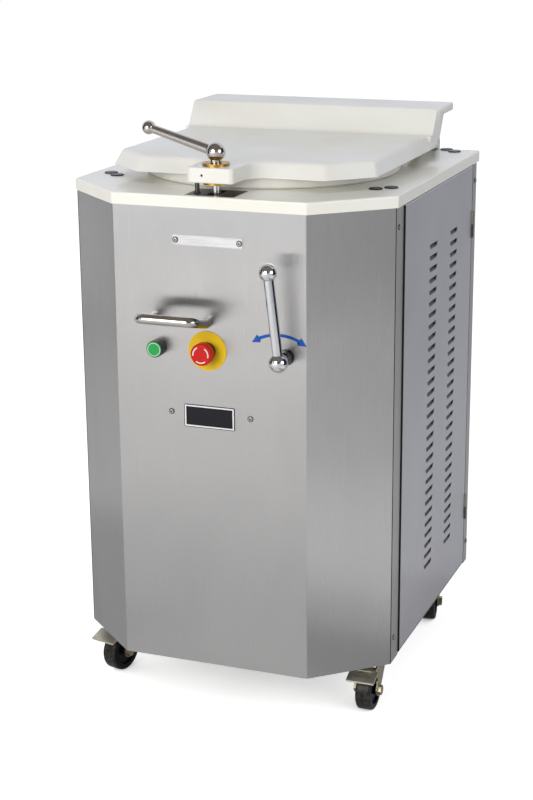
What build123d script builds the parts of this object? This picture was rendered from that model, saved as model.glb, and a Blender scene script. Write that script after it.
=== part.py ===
from build123d import *
import math
import os

os.makedirs("parts", exist_ok=True)

# All sizes are millimetres. The origin is on the floor below the middle of the table,
# with +X to the right of someone at the controls, +Y to the rear and +Z up.

# Overall sizes
table_height = 988
table_width = 620
table_front_edge = 365
table_chamfer_depth = 115
table_thickness = 21
table_corner = 4
table_edge_round = 2.5
cabinet_floor = 110

# Sheet metal skin
sheet = 1.5
bend_radius = 3
front_overhang = 2
side_overhang = 4
rear_overhang = 5
corner_overhang = 1.5
front_strip = 47
rear_strip = 29
strip_return = 12
door_gap = 3
door_depth = 14
door_top_gap = 4
door_bottom_gap = 2
base_thickness = 3

# Square tubes of the frame
tube = 30
tube_wall = 2.5
tube_gap = 2

# Fits between pieces
running_fit = 0.05
hole_clearance = 0.25
seat_gap = 0.2

# Louvres
louvre_length = 55
louvre_height = 10
louvre_depth = 5.5
louvre_wall = 1.2
louvre_taper = 45
louvre_rows = 30
louvre_low = 112
louvre_high = 107
louvre_inset = 195
louvre_columns = 145

# Door hinges
hinge_knuckle = 8
hinge_pin = 4
hinge_height = 54
hinge_leaf = 20
hinge_leaf_thickness = 2
hinge_low = 130
hinge_high = 123

# Panel screws
screw_shank = 4
screw_head = 9
screw_head_height = 2.6
screw_nut = 7
screw_nut_height = 3.2
screw_tail = 1
strip_screw_inset = 19
strip_screw_low = 46
strip_screw_high = 37
left_screw_inset = 28

# Table fittings
plug_diameter = 25
plug_height = 2
plug_stem = 12
plug_stem_length = 9
plug_front_inset = (48, 180)
plug_rear_inset = (55, 22)
plug_spread = (11, 10.5)
latch_width = 92
latch_length = 70
latch_thickness = 6

# Dough chamber and rounding drive
chamber_y = -8
chamber_side_room = 106
chamber_end_room = 136
chamber_depth = 70
drum_wall = 6
drum_top_gap = 2
orbit = 8
orbit_gap = 4
carriage_drop = 100
carriage_thickness = 12
crank_reach = 60
crank_angles = (90, -32, 212)
crank_pin = 16
crank_shaft = 20
crank_disc = 50
crank_disc_thickness = 9
crank_gap = 2
housing_diameter = 46
housing_height = 50
deck_thickness = 10
idler_tail = 12
collar_diameter = 32
collar_height = 10
pulley_diameter = 124
pulley_height = 28
pulley_drop = 15
pulley_rim = 4
motor_pulley_diameter = 60
belt_width = 16
belt_thickness = 5
belt_gap = 0.3
motor_reach = (-165, -20)
motor_diameter = 120
motor_length = 138
motor_flange = 140
motor_flange_thickness = 12
motor_corner = 9
motor_shaft = 19
motor_stud = 10
motor_stud_places = ((-52, -44), (-52, 44), (20, -58), (20, 58))
motor_drop = 57

# Press ram and knives
plate_gap = 3
plate_thickness = 14
segment_height = 28
knife_thickness = 3
knife_slot = 5
knife_shares = (0.37, 0.69)
knife_spokes = (6, 12, 18)
knife_tab = 24
knife_lift = 25
knife_floor_gap = 3
knife_top_gap = 1
carrier_room = 44
carrier_thickness = 12
carrier_sleeve = 70
cup_diameter = 96
cup_depth = 32
cup_floor = 4
ram_rod_diameter = 40
ram_travel = 40
piston_diameter = 60
piston_height = 20
barrel_diameter = 80
barrel_spare = 64
barrel_head = 20
bridge_thickness = 12
bridge_depth = 90
hanger_diameter = 14
hanger_spread = 50

# Lid
lid_lift = 21
lid_thickness = 27
lid_wall = 10
lid_side_inset = 54
lid_front_inset = 96
lid_front_half = 180
lid_chamfer_depth = 72
lid_rear_inset = 112
lid_front_slope = 22
lid_chamfer_slope = 20
lid_side_slope = 10
tongue_half = 44
tongue_front_inset = 12
tongue_fillet = 40
tongue_corner = 10
set_screw_x = -14
set_screw_hole = 5
ledge_foot_reach = -50
ledge_front_reach = -18
ledge_web_reach = 30
ledge_rear_reach = 100
ledge_height = 96
ledge_thickness = 16
ledge_fillet = 14
ledge_lean = 3
disc_overlap = 34
disc_gap = 0.5
disc_chamfer = 3
lid_axis_inset = 20
lid_axis_height = 12
lug_thickness = 20
lug_radius = 11
lug_weld = 1
lug_inset = 60
hinge_block_width = 22
hinge_block_depth = 30
hinge_block_height = 22
lid_pin = 12

# Clamp on the tongue of the lid
clamp_inset = 45
clamp_shaft_diameter = 16
clamp_sleeve = 26
clamp_flange_top = 48
clamp_flange_bottom = 46
clamp_flange_thickness = 5
clamp_sleeve_length = 10
clamp_hub = 34
clamp_hub_height = 72
clamp_neck = 20
clamp_arm_root = 19.5
clamp_arm_tip = 15
clamp_ball = 25
clamp_arm_length = 148
clamp_arm_back = 13
clamp_arm_rise = 12.5
clamp_bar_length = 40
clamp_bar_width = 14
clamp_bar_height = 8
clamp_bar_gap = 2
clamp_slot_gap = 3
locating_pin = 8
locating_pin_reach = (-32, -10)
locating_pin_depth = 4
locating_hole_gap = 2.5

# Controls on the front panel
control_drop = 253
start_x = -97.5
estop_x = -4
switch_barrel = 22
switch_collar = 30.5
switch_collar_length = 22
switch_round = 1
start_cap = 28
start_cap_length = 12
start_travel = 4
start_bore_spare = 1
button_proud = 1.5
contact_block = 34
contact_block_length = 46
estop_disc = 72
estop_disc_thickness = 1.5
estop_collar = 32
estop_collar_length = 10
estop_stem_diameter = 14
estop_head_diameter = 40
estop_head_height = 16
estop_head_round = 4
estop_travel = 5
lever_x = 145
lever_rise = 2
lever_flange = 29
lever_flange_thickness = 4
lever_boss = 25
lever_boss_length = 21
lever_boss_round = 2
lever_neck = 21
lever_shaft = 12
lever_hub = 34
lever_hub_reach = 42
lever_arm = 18
lever_ball = 31
lever_length = 160
lever_lean = 5
lever_outward = 4
valve_width = 60
valve_depth = 60
valve_height = 72
valve_bore_depth = 34
valve_chamfer = 2
handle_left = -105
handle_right = -1
handle_lift = 53
handle_diameter = 18
handle_reach = 73
handle_rise = 15
handle_foot = 14
handle_bend = 13
handle_stud = 6
handle_stud_length = 9
handle_nut = 11
strip_plate = (132, 17)
strip_plate_x = -1
strip_plate_drop = 57
strip_plate_screw_inset = 6
badge_plate = (97, 42)
badge_x = -2.5
badge_drop = 122.5
plate_sheet = 1.2
plate_corner = 2
badge_screw_x = 76
badge_screw_drop = 118

# Hydraulics and electrics
tank_size = (260, 230, 180)
tank_corner = 12
tank_cap_diameter = 50
tank_cap_height = 18
pump_bell = 110
pump_bell_height = 50
pump_motor = 130
pump_room = 85
control_box_size = (180, 95, 260)
box_corner = 6
control_box_inset = 180
control_box_lift = 190
gland_inset = 190
gland_lift = 90
gland_thread = 20
gland_hex = 27
gland_hex_height = 8
gland_dome = 23
gland_dome_length = 16
gland_round = 3
gland_nut_height = 5
gland_tail = 3
gland_bore = 11

# Castors
wheel_diameter = 80
wheel_width = 30
wheel_round = 5
wheel_rim = 12
wheel_recess = 4
wheel_seam = 1.4
castor_trail = 35
castor_plate = 76
castor_plate_thickness = 4
castor_plate_corner = 6
castor_race = 54
castor_race_height = 10
castor_kingpin = 20
castor_crown_height = 8
castor_crown_half = 24
castor_crown_front = 30
castor_leg = 3
castor_leg_gap = 3
castor_leg_boss = 12
axle_diameter = 10
axle_head = 17
axle_head_height = 6
pedal_pivot = (52, 84)
pedal_ear = 7
pedal_pin = 6
pedal_hub = 10
pedal_tongue_half = 15
pedal_tread_half = 27
pedal_tread_front = 91
pedal_tread_drop = 11
pedal_thickness = 3
pedal_gap = 2
castor_side_inset = 55
castor_front_inset = 177
castor_rear_inset = 125
castor_angles = {"front_left": 256, "front_right": 270, "rear_left": 75, "rear_right": 100}

# Levels and places that follow from the sizes above
chamber_radius = table_width / 2 - chamber_side_room
table_depth = 2 * (chamber_radius + chamber_end_room)
table_half = table_width / 2
table_front = -table_depth / 2
table_rear = table_depth / 2
table_bottom = table_height - table_thickness
panel_height = table_bottom - cabinet_floor
skin_front = table_front + front_overhang
skin_side = table_half - side_overhang
skin_rear = table_rear - rear_overhang
chamfer_slope = table_chamfer_depth / (table_half - table_front_edge / 2)
skin_corner = table_front_edge / 2 - corner_overhang
skin_chamfer_rear = skin_front + (skin_side - skin_corner) * chamfer_slope
strip_end = skin_chamfer_rear + front_strip
hinge_y = skin_rear - rear_strip - door_gap / 2
door_front = strip_end + door_gap
door_rear = hinge_y - door_gap / 2
base_top = cabinet_floor + base_thickness
door_bottom = base_top + door_bottom_gap
door_top = table_bottom - door_top_gap
door_height = door_top - door_bottom
door_middle_y = (door_front + door_rear) / 2
door_middle_z = (door_bottom + door_top) / 2
carriage_bottom = table_height - carriage_drop
carriage_top = carriage_bottom + carriage_thickness
drum_radius = chamber_radius + drum_wall
drum_top = table_height - drum_top_gap
opening_radius = drum_radius + orbit + orbit_gap
crank_ring = chamber_radius + crank_reach
crank_places = [
    (crank_ring * math.cos(math.radians(a)), chamber_y + crank_ring * math.sin(math.radians(a)))
    for a in crank_angles
]
motor_place = (motor_reach[0], crank_places[0][1] + motor_reach[1])
crank_disc_top = carriage_bottom - crank_gap
crank_disc_bottom = crank_disc_top - crank_disc_thickness
housing_top = crank_disc_bottom - crank_gap
deck_top = housing_top - housing_height
deck_bottom = deck_top - deck_thickness
hanger_x = drum_radius + hanger_diameter / 2 + orbit_gap / 4
hanger_radius = math.hypot(hanger_x, hanger_spread / 2) + hanger_diameter / 2
deck_hole_radius = hanger_radius + orbit + orbit_gap / 2
segment_top = table_height - chamber_depth
plate_top = segment_top - segment_height
plate_bottom = plate_top - plate_thickness
plate_radius = chamber_radius - plate_gap
knife_rings = [share * plate_radius for share in knife_shares]
carrier_radius = chamber_radius - carrier_room
carrier_top = plate_bottom - knife_lift - knife_top_gap
carrier_bottom = carrier_top - carrier_thickness
cup_top = carrier_bottom - crank_gap
cup_bottom = cup_top - cup_depth - cup_floor
barrel_length = piston_height + ram_travel + barrel_head + barrel_spare
barrel_top = cup_bottom - crank_gap
bridge_top = barrel_top - barrel_length
bridge_bottom = bridge_top - bridge_thickness
lid_bottom = table_height + lid_lift
lid_top = lid_bottom + lid_thickness
lid_half_width = table_half - lid_side_inset
lid_front = table_front + lid_front_inset
lid_chamfer_rear = lid_front + lid_chamfer_depth
lid_rear = table_rear - lid_rear_inset
tongue_front = table_front + tongue_front_inset
ledge_foot = lid_rear + ledge_foot_reach
ledge_front = lid_rear + ledge_front_reach
ledge_web_rear = lid_rear + ledge_web_reach
ledge_rear = lid_rear + ledge_rear_reach
lug_centre = lid_half_width - lug_inset
hinge_axis = (table_rear - lid_axis_inset, table_height + lid_axis_height)
clamp_y = table_front + clamp_inset
locating_pin_place = (locating_pin_reach[0], clamp_y + locating_pin_reach[1])
control_height = table_bottom - control_drop
lever_z = control_height + lever_rise
handle_z = control_height + handle_lift
strip_plate_centre = (strip_plate_x, table_bottom - strip_plate_drop)
control_box_x = table_half - control_box_inset
gland_x = gland_inset - table_half
badge_centre = (badge_x, control_height - badge_drop)
badge_screw_z = control_height - badge_screw_drop
rail_side = skin_side - door_depth - tube_gap - tube / 2
front_post = (skin_side - sheet - tube / 2, strip_end - sheet - tube_gap - tube / 2)
rear_post = (rail_side, skin_rear - sheet - tube / 2)

# Planes on the outer faces of the cabinet, each with its first axis level and its second up
front_face = Plane((0, skin_front, 0), (1, 0, 0), (0, -1, 0))
right_face = Plane((skin_side, 0, 0), (0, 1, 0), (1, 0, 0))
left_face = Plane((-skin_side, 0, 0), (0, -1, 0), (-1, 0, 0))
rear_face = Plane((0, skin_rear, 0), (-1, 0, 0), (0, 1, 0))

# Screw places on those planes
strip_screw_heights = (cabinet_floor + strip_screw_low, table_bottom - strip_screw_high)
front_strip_y = skin_chamfer_rear + strip_screw_inset
rear_strip_y = skin_rear - (rear_strip - door_gap) / 2
front_screws = [(-badge_screw_x, badge_screw_z), (badge_screw_x, badge_screw_z)]
plate_screw_x = strip_plate[0] / 2 - strip_plate_screw_inset
strip_plate_screws = [
    (strip_plate_centre[0] - plate_screw_x, strip_plate_centre[1]),
    (strip_plate_centre[0] + plate_screw_x, strip_plate_centre[1]),
]
rear_screw_middle = cabinet_floor + panel_height / 2
rear_screw_heights = (strip_screw_heights[0], rear_screw_middle, strip_screw_heights[1])
hinge_heights = (cabinet_floor + hinge_low, table_bottom - hinge_high)
rear_screws = [(side * rear_post[0], z) for side in (-1, 1) for z in rear_screw_heights]
side_rail_heights = (base_top + tube / 2, deck_bottom - tube / 2, table_bottom - tube / 2)
left_screw_y = (door_front + left_screw_inset, door_rear - left_screw_inset)
left_screws = [(-y, z) for y in left_screw_y for z in (side_rail_heights[0], side_rail_heights[1])]


# Welded frame: square tubes standing on a base plate
def square_tube(start, end, holes=()):
    """A square tube from one end to the other, drilled where the panel screws go in."""
    length = (Vector(*end) - Vector(*start)).length
    run = Plane(start, (0, 0, 1) if start[2] == end[2] else (1, 0, 0), Vector(*end) - Vector(*start))
    with BuildPart() as length_of_tube:
        with BuildSketch(run):
            Rectangle(tube, tube)
            Rectangle(tube - 2 * tube_wall, tube - 2 * tube_wall, mode=Mode.SUBTRACT)
        extrude(amount=length)
        for face, place in holes:
            with BuildSketch(face):
                with Locations(place):
                    Circle(screw_shank / 2 + hole_clearance)
            extrude(amount=-(door_depth + tube_gap + sheet + 2 * tube_wall), mode=Mode.SUBTRACT)
    return length_of_tube.part


with BuildPart() as base_plate:
    with BuildSketch(Plane.XY.offset(cabinet_floor)):
        Polygon(
            (-skin_corner, skin_front),
            (skin_corner, skin_front),
            (skin_side, skin_chamfer_rear),
            (skin_side, skin_rear),
            (-skin_side, skin_rear),
            (-skin_side, skin_chamfer_rear),
            align=None,
        )
        offset(amount=-(sheet + seat_gap), kind=Kind.INTERSECTION, mode=Mode.REPLACE)
        with Locations(*[(side * (skin_side - strip_return / 2), strip_end) for side in (-1, 1)]):
            Rectangle(strip_return + tube_gap, 2 * sheet + tube_gap, mode=Mode.SUBTRACT)
    extrude(amount=base_thickness)
    fillet(base_plate.edges().filter_by(Axis.Z).group_by(Axis.Y)[-1], radius=bend_radius)

frame_pieces = [base_plate.part]
for side in (-1, 1):
    side_plane = right_face if side > 0 else left_face
    front_holes = [(side_plane, (side * front_strip_y, z)) for z in strip_screw_heights]
    rear_holes = [(rear_face, place) for place in rear_screws if place[0] * side < 0]
    rail_holes = [(left_face, place) for place in left_screws] if side < 0 else []
    front_x = side * front_post[0]
    rear_x = side * rear_post[0]
    for x, y, holes in ((front_x, front_post[1], front_holes), (rear_x, rear_post[1], rear_holes)):
        frame_pieces.append(square_tube((x, y, base_top), (x, y, table_bottom), holes))
    for rail_z in side_rail_heights:
        frame_pieces.append(
            square_tube(
                (side * rail_side, front_post[1] + tube / 2, rail_z),
                (side * rail_side, rear_post[1] - tube / 2, rail_z),
                [hole for hole in rail_holes if hole[1][1] == rail_z],
            )
        )
for rail_z in (side_rail_heights[0], side_rail_heights[2]):
    frame_pieces.append(
        square_tube(
            (-rear_post[0] + tube / 2, rear_post[1], rail_z),
            (rear_post[0] - tube / 2, rear_post[1], rail_z),
        )
    )
frame_pieces.append(
    square_tube(
        (-front_post[0] + tube / 2, front_post[1], side_rail_heights[0]),
        (front_post[0] - tube / 2, front_post[1], side_rail_heights[0]),
    )
)
frame = Compound(children=frame_pieces)
frame.label = "frame"
export_step(frame, "parts/frame.step")

# Front panel: one sheet folded round the front, both chamfers and the front ends of the sides
with BuildPart() as front_panel:
    with BuildSketch(Plane.XY.offset(cabinet_floor)):
        with BuildLine():
            FilletPolyline(
                (skin_side - strip_return, strip_end),
                (skin_side, strip_end),
                (skin_side, skin_chamfer_rear),
                (skin_corner, skin_front),
                (-skin_corner, skin_front),
                (-skin_side, skin_chamfer_rear),
                (-skin_side, strip_end),
                (-skin_side + strip_return, strip_end),
                radius=bend_radius,
            )
            offset(amount=sheet, side=Side.RIGHT, closed=True)
        make_face()
    extrude(amount=panel_height)
    with BuildSketch(front_face):
        with Locations((start_x, control_height), (estop_x, control_height)):
            Circle(switch_barrel / 2 + hole_clearance)
        with Locations((lever_x, lever_z)):
            Circle(lever_boss / 2 - hole_clearance)
        with Locations((handle_left, handle_z), (handle_right, handle_z)):
            Circle(handle_stud / 2 + hole_clearance)
        with Locations(*front_screws, *strip_plate_screws):
            Circle(screw_shank / 2 + hole_clearance)
    extrude(amount=-2 * sheet, mode=Mode.SUBTRACT)
    for face, sign in ((right_face, 1), (left_face, -1)):
        with BuildSketch(face):
            with Locations(*[(sign * front_strip_y, z) for z in strip_screw_heights]):
                Circle(screw_shank / 2 + hole_clearance)
        extrude(amount=-2 * sheet, mode=Mode.SUBTRACT)
front_panel.part.label = "front_panel"
export_step(front_panel.part, "parts/front_panel.step")

# Rear panel: one sheet folded round the rear and the rear ends of the sides
gland_z = cabinet_floor + gland_lift
hinge_cutout = hinge_knuckle / 2 + 3 * seat_gap
with BuildPart() as rear_panel:
    with BuildSketch(Plane.XY.offset(cabinet_floor)):
        with BuildLine():
            FilletPolyline(
                (-skin_side, hinge_y + door_gap / 2),
                (-skin_side, skin_rear),
                (skin_side, skin_rear),
                (skin_side, hinge_y + door_gap / 2),
                radius=bend_radius,
            )
            offset(amount=sheet, side=Side.RIGHT, closed=True)
        make_face()
    extrude(amount=panel_height)
    with BuildSketch(rear_face):
        with Locations(*rear_screws):
            Circle(screw_shank / 2 + hole_clearance)
        with Locations((-gland_x, gland_z)):
            Circle(gland_thread / 2 + hole_clearance)
    extrude(amount=-2 * sheet, mode=Mode.SUBTRACT)
    for face, sign in ((right_face, 1), (left_face, -1)):
        with BuildSketch(face):
            with Locations(*[(sign * rear_strip_y, z) for z in strip_screw_heights]):
                Circle(screw_shank / 2 + hole_clearance)
        extrude(amount=-2 * sheet, mode=Mode.SUBTRACT)
    with BuildSketch(right_face):
        with Locations(*[(hinge_y, z) for z in hinge_heights]):
            Rectangle(2 * hinge_cutout, hinge_height + 2 * seat_gap)
    extrude(amount=-2 * sheet, mode=Mode.SUBTRACT)
rear_panel.part.label = "rear_panel"
export_step(rear_panel.part, "parts/rear_panel.step")

# One louvre: a half pill pressed inwards, closed below and open at its upper edge
scoop_height = 2 * louvre_height
mouth_length = louvre_length - 2 * louvre_wall
mouth_height = scoop_height - 2 * louvre_wall
louvre_pitch = (panel_height - louvre_low - louvre_high) / (louvre_rows - 1)
louvre_front_y = door_front + louvre_inset
louvre_places = [
    (column_y, cabinet_floor + louvre_low + row * louvre_pitch)
    for column_y in (louvre_front_y, louvre_front_y + louvre_columns)
    for row in range(louvre_rows)
]
with BuildSketch() as louvre_mouth:
    SlotOverall(mouth_length, mouth_height)
    with Locations((0, louvre_height)):
        Rectangle(louvre_length, scoop_height, mode=Mode.SUBTRACT)
with BuildPart() as louvre_scoop:
    with BuildSketch():
        SlotOverall(louvre_length, scoop_height)
    extrude(amount=louvre_depth, taper=louvre_taper)
    with BuildSketch():
        SlotOverall(mouth_length, mouth_height)
    extrude(amount=louvre_depth - louvre_wall, taper=louvre_taper, mode=Mode.SUBTRACT)
    split(bisect_by=Plane.XZ, keep=Keep.TOP)


def louvred_pan(side, depth, hinged):
    """A side cover with turned-in edges and two columns of louvres, notched where it is hinged."""
    outside = right_face if side > 0 else left_face
    inside = Plane((side * (skin_side - sheet), 0, 0), (0, -side, 0), (-side, 0, 0))
    with BuildPart() as pan:
        with BuildSketch(outside):
            with Locations((side * door_middle_y, door_middle_z)):
                Rectangle(door_rear - door_front, door_height)
        extrude(amount=-depth)
        fillet(pan.faces().sort_by(Axis.X)[-1 if side > 0 else 0].edges(), radius=sheet)
        with BuildSketch(inside):
            with Locations((-side * door_middle_y, door_middle_z)):
                Rectangle(door_rear - door_front - 2 * sheet, door_height - 2 * sheet)
        extrude(amount=depth, mode=Mode.SUBTRACT)
        with BuildSketch(outside):
            with Locations(*[(side * y, z) for y, z in louvre_places]):
                add(louvre_mouth.sketch)
        extrude(amount=-2 * sheet, mode=Mode.SUBTRACT)
        with Locations(*[inside * Location((-side * y, z, 0)) for y, z in louvre_places]):
            add(louvre_scoop.part)
        if hinged:
            with BuildSketch(outside):
                with Locations(*[(hinge_y, z) for z in hinge_heights]):
                    Rectangle(2 * hinge_cutout, hinge_height + 2 * seat_gap)
            extrude(amount=-depth, mode=Mode.SUBTRACT)
        else:
            with BuildSketch(outside):
                with Locations(*left_screws):
                    Circle(screw_shank / 2 + hole_clearance)
            extrude(amount=-2 * sheet, mode=Mode.SUBTRACT)
    return pan.part


# Left panel: a fixed louvred cover, seated on the side rails
left_panel = louvred_pan(-1, door_depth + tube_gap, False)
left_panel.label = "left_panel"
export_step(left_panel, "parts/left_panel.step")

# Right door: the same cover on two hinges at its rear edge
door_panel = louvred_pan(1, door_depth, True)
door_panel.label = "door_panel"
export_step(door_panel, "parts/door_panel.step")


# Door hinges: each has a fixed lower half with its pin and a turning upper half
def hinge_half(side, low, tall, bore):
    """A knuckle with its leaf; side is 1 for the leaf on the rear panel and -1 for the door."""
    leaf_x = skin_side - sheet - hinge_leaf_thickness / 2
    with BuildPart() as half:
        with BuildSketch(Plane.XY.offset(low)):
            with Locations((skin_side, hinge_y)):
                Circle(hinge_knuckle / 2)
            with Locations((leaf_x, hinge_y + side * hinge_leaf / 2)):
                Rectangle(hinge_leaf_thickness, hinge_leaf)
            if bore:
                with Locations((skin_side, hinge_y)):
                    Circle(hinge_pin / 2 + running_fit, mode=Mode.SUBTRACT)
        extrude(amount=tall)
        if not bore:
            with BuildSketch(Plane.XY.offset(low)):
                with Locations((skin_side, hinge_y)):
                    Circle(hinge_pin / 2)
            extrude(amount=hinge_height)
    return half.part


half_knuckle = hinge_height / 2
fixed_halves = [hinge_half(1, z - half_knuckle, half_knuckle, False) for z in hinge_heights]
door_hinge_leaves = Compound(children=fixed_halves)
door_hinge_leaves.label = "door_hinge_leaves"
export_step(door_hinge_leaves, "parts/door_hinge_leaves.step")

turning_halves = [
    hinge_half(-1, z + seat_gap, half_knuckle - seat_gap, True) for z in hinge_heights
]
door_hinge_knuckles = Compound(children=turning_halves)
door_hinge_knuckles.label = "door_hinge_knuckles"
export_step(door_hinge_knuckles, "parts/door_hinge_knuckles.step")


# Panel screws, each with its head outside and a nut inside where it grips sheet alone
def panel_screw(face, place, grip, nut):
    """A round-headed screw through a panel."""
    with BuildPart() as screw:
        with BuildSketch(face):
            with Locations(place):
                Circle(screw_head / 2)
        extrude(amount=screw_head_height)
        fillet(screw.faces().sort_by(Axis(face.origin, face.z_dir))[-1].edges(), screw_head_height / 2)
        with BuildSketch(face):
            with Locations(place):
                Circle(screw_shank / 2)
        extrude(amount=-grip)
        if nut:
            with BuildSketch(face.offset(-sheet)):
                with Locations(place):
                    RegularPolygon(screw_nut / 2, 6, major_radius=False)
            extrude(amount=-screw_nut_height)
    return screw.part


nut_grip = sheet + screw_nut_height + screw_tail
tube_grip = sheet + 2 * tube_wall
rail_grip = door_depth + tube_gap + 2 * tube_wall
screws = [panel_screw(front_face, place, nut_grip, True) for place in front_screws]
plate_face = front_face.offset(plate_sheet)
screws += [panel_screw(plate_face, place, nut_grip, False) for place in strip_plate_screws]
screws += [panel_screw(rear_face, place, tube_grip, False) for place in rear_screws]
screws += [panel_screw(left_face, place, rail_grip, False) for place in left_screws]
for face, sign in ((right_face, 1), (left_face, -1)):
    for z in strip_screw_heights:
        screws.append(panel_screw(face, (sign * front_strip_y, z), tube_grip, False))
        screws.append(panel_screw(face, (sign * rear_strip_y, z), nut_grip, True))
panel_screws = Compound(children=screws)
panel_screws.label = "panel_screws"
export_step(panel_screws, "parts/panel_screws.step")

# Blank plates on the front panel: a strip near the top and a badge plate in the middle
with BuildPart() as strip_blank:
    with BuildSketch(front_face):
        with Locations(strip_plate_centre):
            RectangleRounded(*strip_plate, radius=plate_corner)
        with Locations(*strip_plate_screws):
            Circle(screw_shank / 2 + hole_clearance, mode=Mode.SUBTRACT)
    extrude(amount=plate_sheet)
strip_blank.part.label = "strip_blank"
export_step(strip_blank.part, "parts/strip_blank.step")

with BuildPart() as badge_blank:
    with BuildSketch(front_face):
        with Locations(badge_centre):
            RectangleRounded(*badge_plate, radius=plate_corner)
    extrude(amount=plate_sheet)
badge_blank.part.label = "badge_blank"
export_step(badge_blank.part, "parts/badge_blank.step")

# Cast table top with a round opening over the chamber and a pocket for the latch plate
table_chamfer_rear = table_front + table_chamfer_depth
bar_room = clamp_bar_length / 2 + clamp_slot_gap
plug_front = (table_half - plug_front_inset[0], table_front + plug_front_inset[1])
plug_rear = (table_half - plug_rear_inset[0], table_rear - plug_rear_inset[1])
plug_places = [
    (side * (place[0] + end * plug_spread[0]), place[1] + slant * end * plug_spread[1])
    for place, slant in ((plug_front, 1), (plug_rear, -1))
    for side in (-1, 1)
    for end in (-1, 1)
]
with BuildPart() as table_top:
    with BuildSketch(Plane.XY.offset(table_bottom)):
        Polygon(
            (-table_front_edge / 2, table_front),
            (table_front_edge / 2, table_front),
            (table_half, table_chamfer_rear),
            (table_half, table_rear),
            (-table_half, table_rear),
            (-table_half, table_chamfer_rear),
            align=None,
        )
        with Locations((0, chamber_y)):
            Circle(opening_radius, mode=Mode.SUBTRACT)
    extrude(amount=table_thickness)
    fillet(table_top.edges().filter_by(Axis.Z).filter_by(GeomType.LINE), radius=table_corner)
    fillet(table_top.edges().group_by(Axis.Z)[-1], radius=table_edge_round)
    with BuildSketch(Plane.XY.offset(table_height)):
        with Locations((0, clamp_y)):
            Rectangle(latch_width + 2 * seat_gap, latch_length + 2 * seat_gap)
    extrude(amount=-latch_thickness, mode=Mode.SUBTRACT)
    with BuildSketch(Plane.XY.offset(table_height)):
        with Locations((0, clamp_y)):
            Circle(bar_room)
    extrude(amount=-table_thickness, mode=Mode.SUBTRACT)
    with BuildSketch(Plane.XY.offset(table_height)):
        with Locations(*plug_places):
            Circle(plug_stem / 2 + running_fit)
    extrude(amount=-plug_stem_length - plug_height, mode=Mode.SUBTRACT)
table_top.part.label = "table_top"
export_step(table_top.part, "parts/table_top.step")

# Black caps over the table bolts
with BuildPart() as table_plugs:
    with BuildSketch(Plane.XY.offset(table_height)):
        with Locations(*plug_places):
            Circle(plug_diameter / 2)
    extrude(amount=plug_height)
    fillet(table_plugs.edges().group_by(Axis.Z)[-1], radius=plug_height / 2)
    with BuildSketch(Plane.XY.offset(table_height)):
        with Locations(*plug_places):
            Circle(plug_stem / 2)
    extrude(amount=-plug_stem_length)
table_plugs.part.label = "table_plugs"
export_step(table_plugs.part, "parts/table_plugs.step")

# Latch plate let into the table, with the slot for the clamp bar and the hole for the locating pin
with BuildPart() as latch_plate:
    with BuildSketch(Plane.XY.offset(table_height)):
        with Locations((0, clamp_y)):
            Rectangle(latch_width, latch_length)
            Rectangle(
                clamp_bar_width + 2 * clamp_slot_gap,
                clamp_bar_length + 2 * clamp_slot_gap,
                mode=Mode.SUBTRACT,
            )
        with Locations(locating_pin_place):
            Circle(locating_pin / 2 + locating_hole_gap, mode=Mode.SUBTRACT)
    extrude(amount=-latch_thickness)
latch_plate.part.label = "latch_plate"
export_step(latch_plate.part, "parts/latch_plate.step")


# Lid: a cast slab with sloping front edges, a tongue for the clamp and a heavy ledge at the rear
def lid_outline(front_slope, chamfer_slope_in, side_slope):
    """Corner points of the right half of the slab, front to rear, with its edges moved inwards."""
    run = Vector(lid_half_width - lid_front_half, lid_chamfer_rear - lid_front).normalized()
    start = Vector(lid_front_half, lid_front) + Vector(-run.Y, run.X) * chamfer_slope_in
    front_y = lid_front + front_slope
    side_x = lid_half_width - side_slope
    front_corner = start + run * ((front_y - start.Y) / run.Y)
    side_corner = start + run * ((side_x - start.X) / run.X)
    return front_corner, side_corner


def lid_section(height, front_slope, chamfer_slope_in, side_slope):
    """The closed outline of the slab and its tongue at one height."""
    front_corner, side_corner = lid_outline(front_slope, chamfer_slope_in, side_slope)
    front_y = front_corner.Y
    tongue_root = front_y - tongue_fillet
    fillet_x = tongue_half + tongue_fillet
    turn = tongue_fillet * math.sqrt(0.5)
    corner_turn = tongue_corner * (1 - math.sqrt(0.5))
    with BuildSketch(Plane.XY.offset(height)) as section:
        with BuildLine():
            Polyline(
                (fillet_x, front_y),
                (front_corner.X, front_y),
                (side_corner.X, side_corner.Y),
                (side_corner.X, lid_rear),
                (-side_corner.X, lid_rear),
                (-side_corner.X, side_corner.Y),
                (-front_corner.X, front_y),
                (-fillet_x, front_y),
            )
            ThreePointArc(
                (-fillet_x, front_y),
                (-fillet_x + turn, tongue_root + turn),
                (-tongue_half, tongue_root),
            )
            Line((-tongue_half, tongue_root), (-tongue_half, tongue_front + tongue_corner))
            ThreePointArc(
                (-tongue_half, tongue_front + tongue_corner),
                (-tongue_half + corner_turn, tongue_front + corner_turn),
                (-tongue_half + tongue_corner, tongue_front),
            )
            Line((-tongue_half + tongue_corner, tongue_front), (tongue_half - tongue_corner, tongue_front))
            ThreePointArc(
                (tongue_half - tongue_corner, tongue_front),
                (tongue_half - corner_turn, tongue_front + corner_turn),
                (tongue_half, tongue_front + tongue_corner),
            )
            Line((tongue_half, tongue_front + tongue_corner), (tongue_half, tongue_root))
            ThreePointArc(
                (tongue_half, tongue_root),
                (fillet_x - turn, tongue_root + turn),
                (fillet_x, front_y),
            )
        make_face()
    return section.sketch


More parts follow.
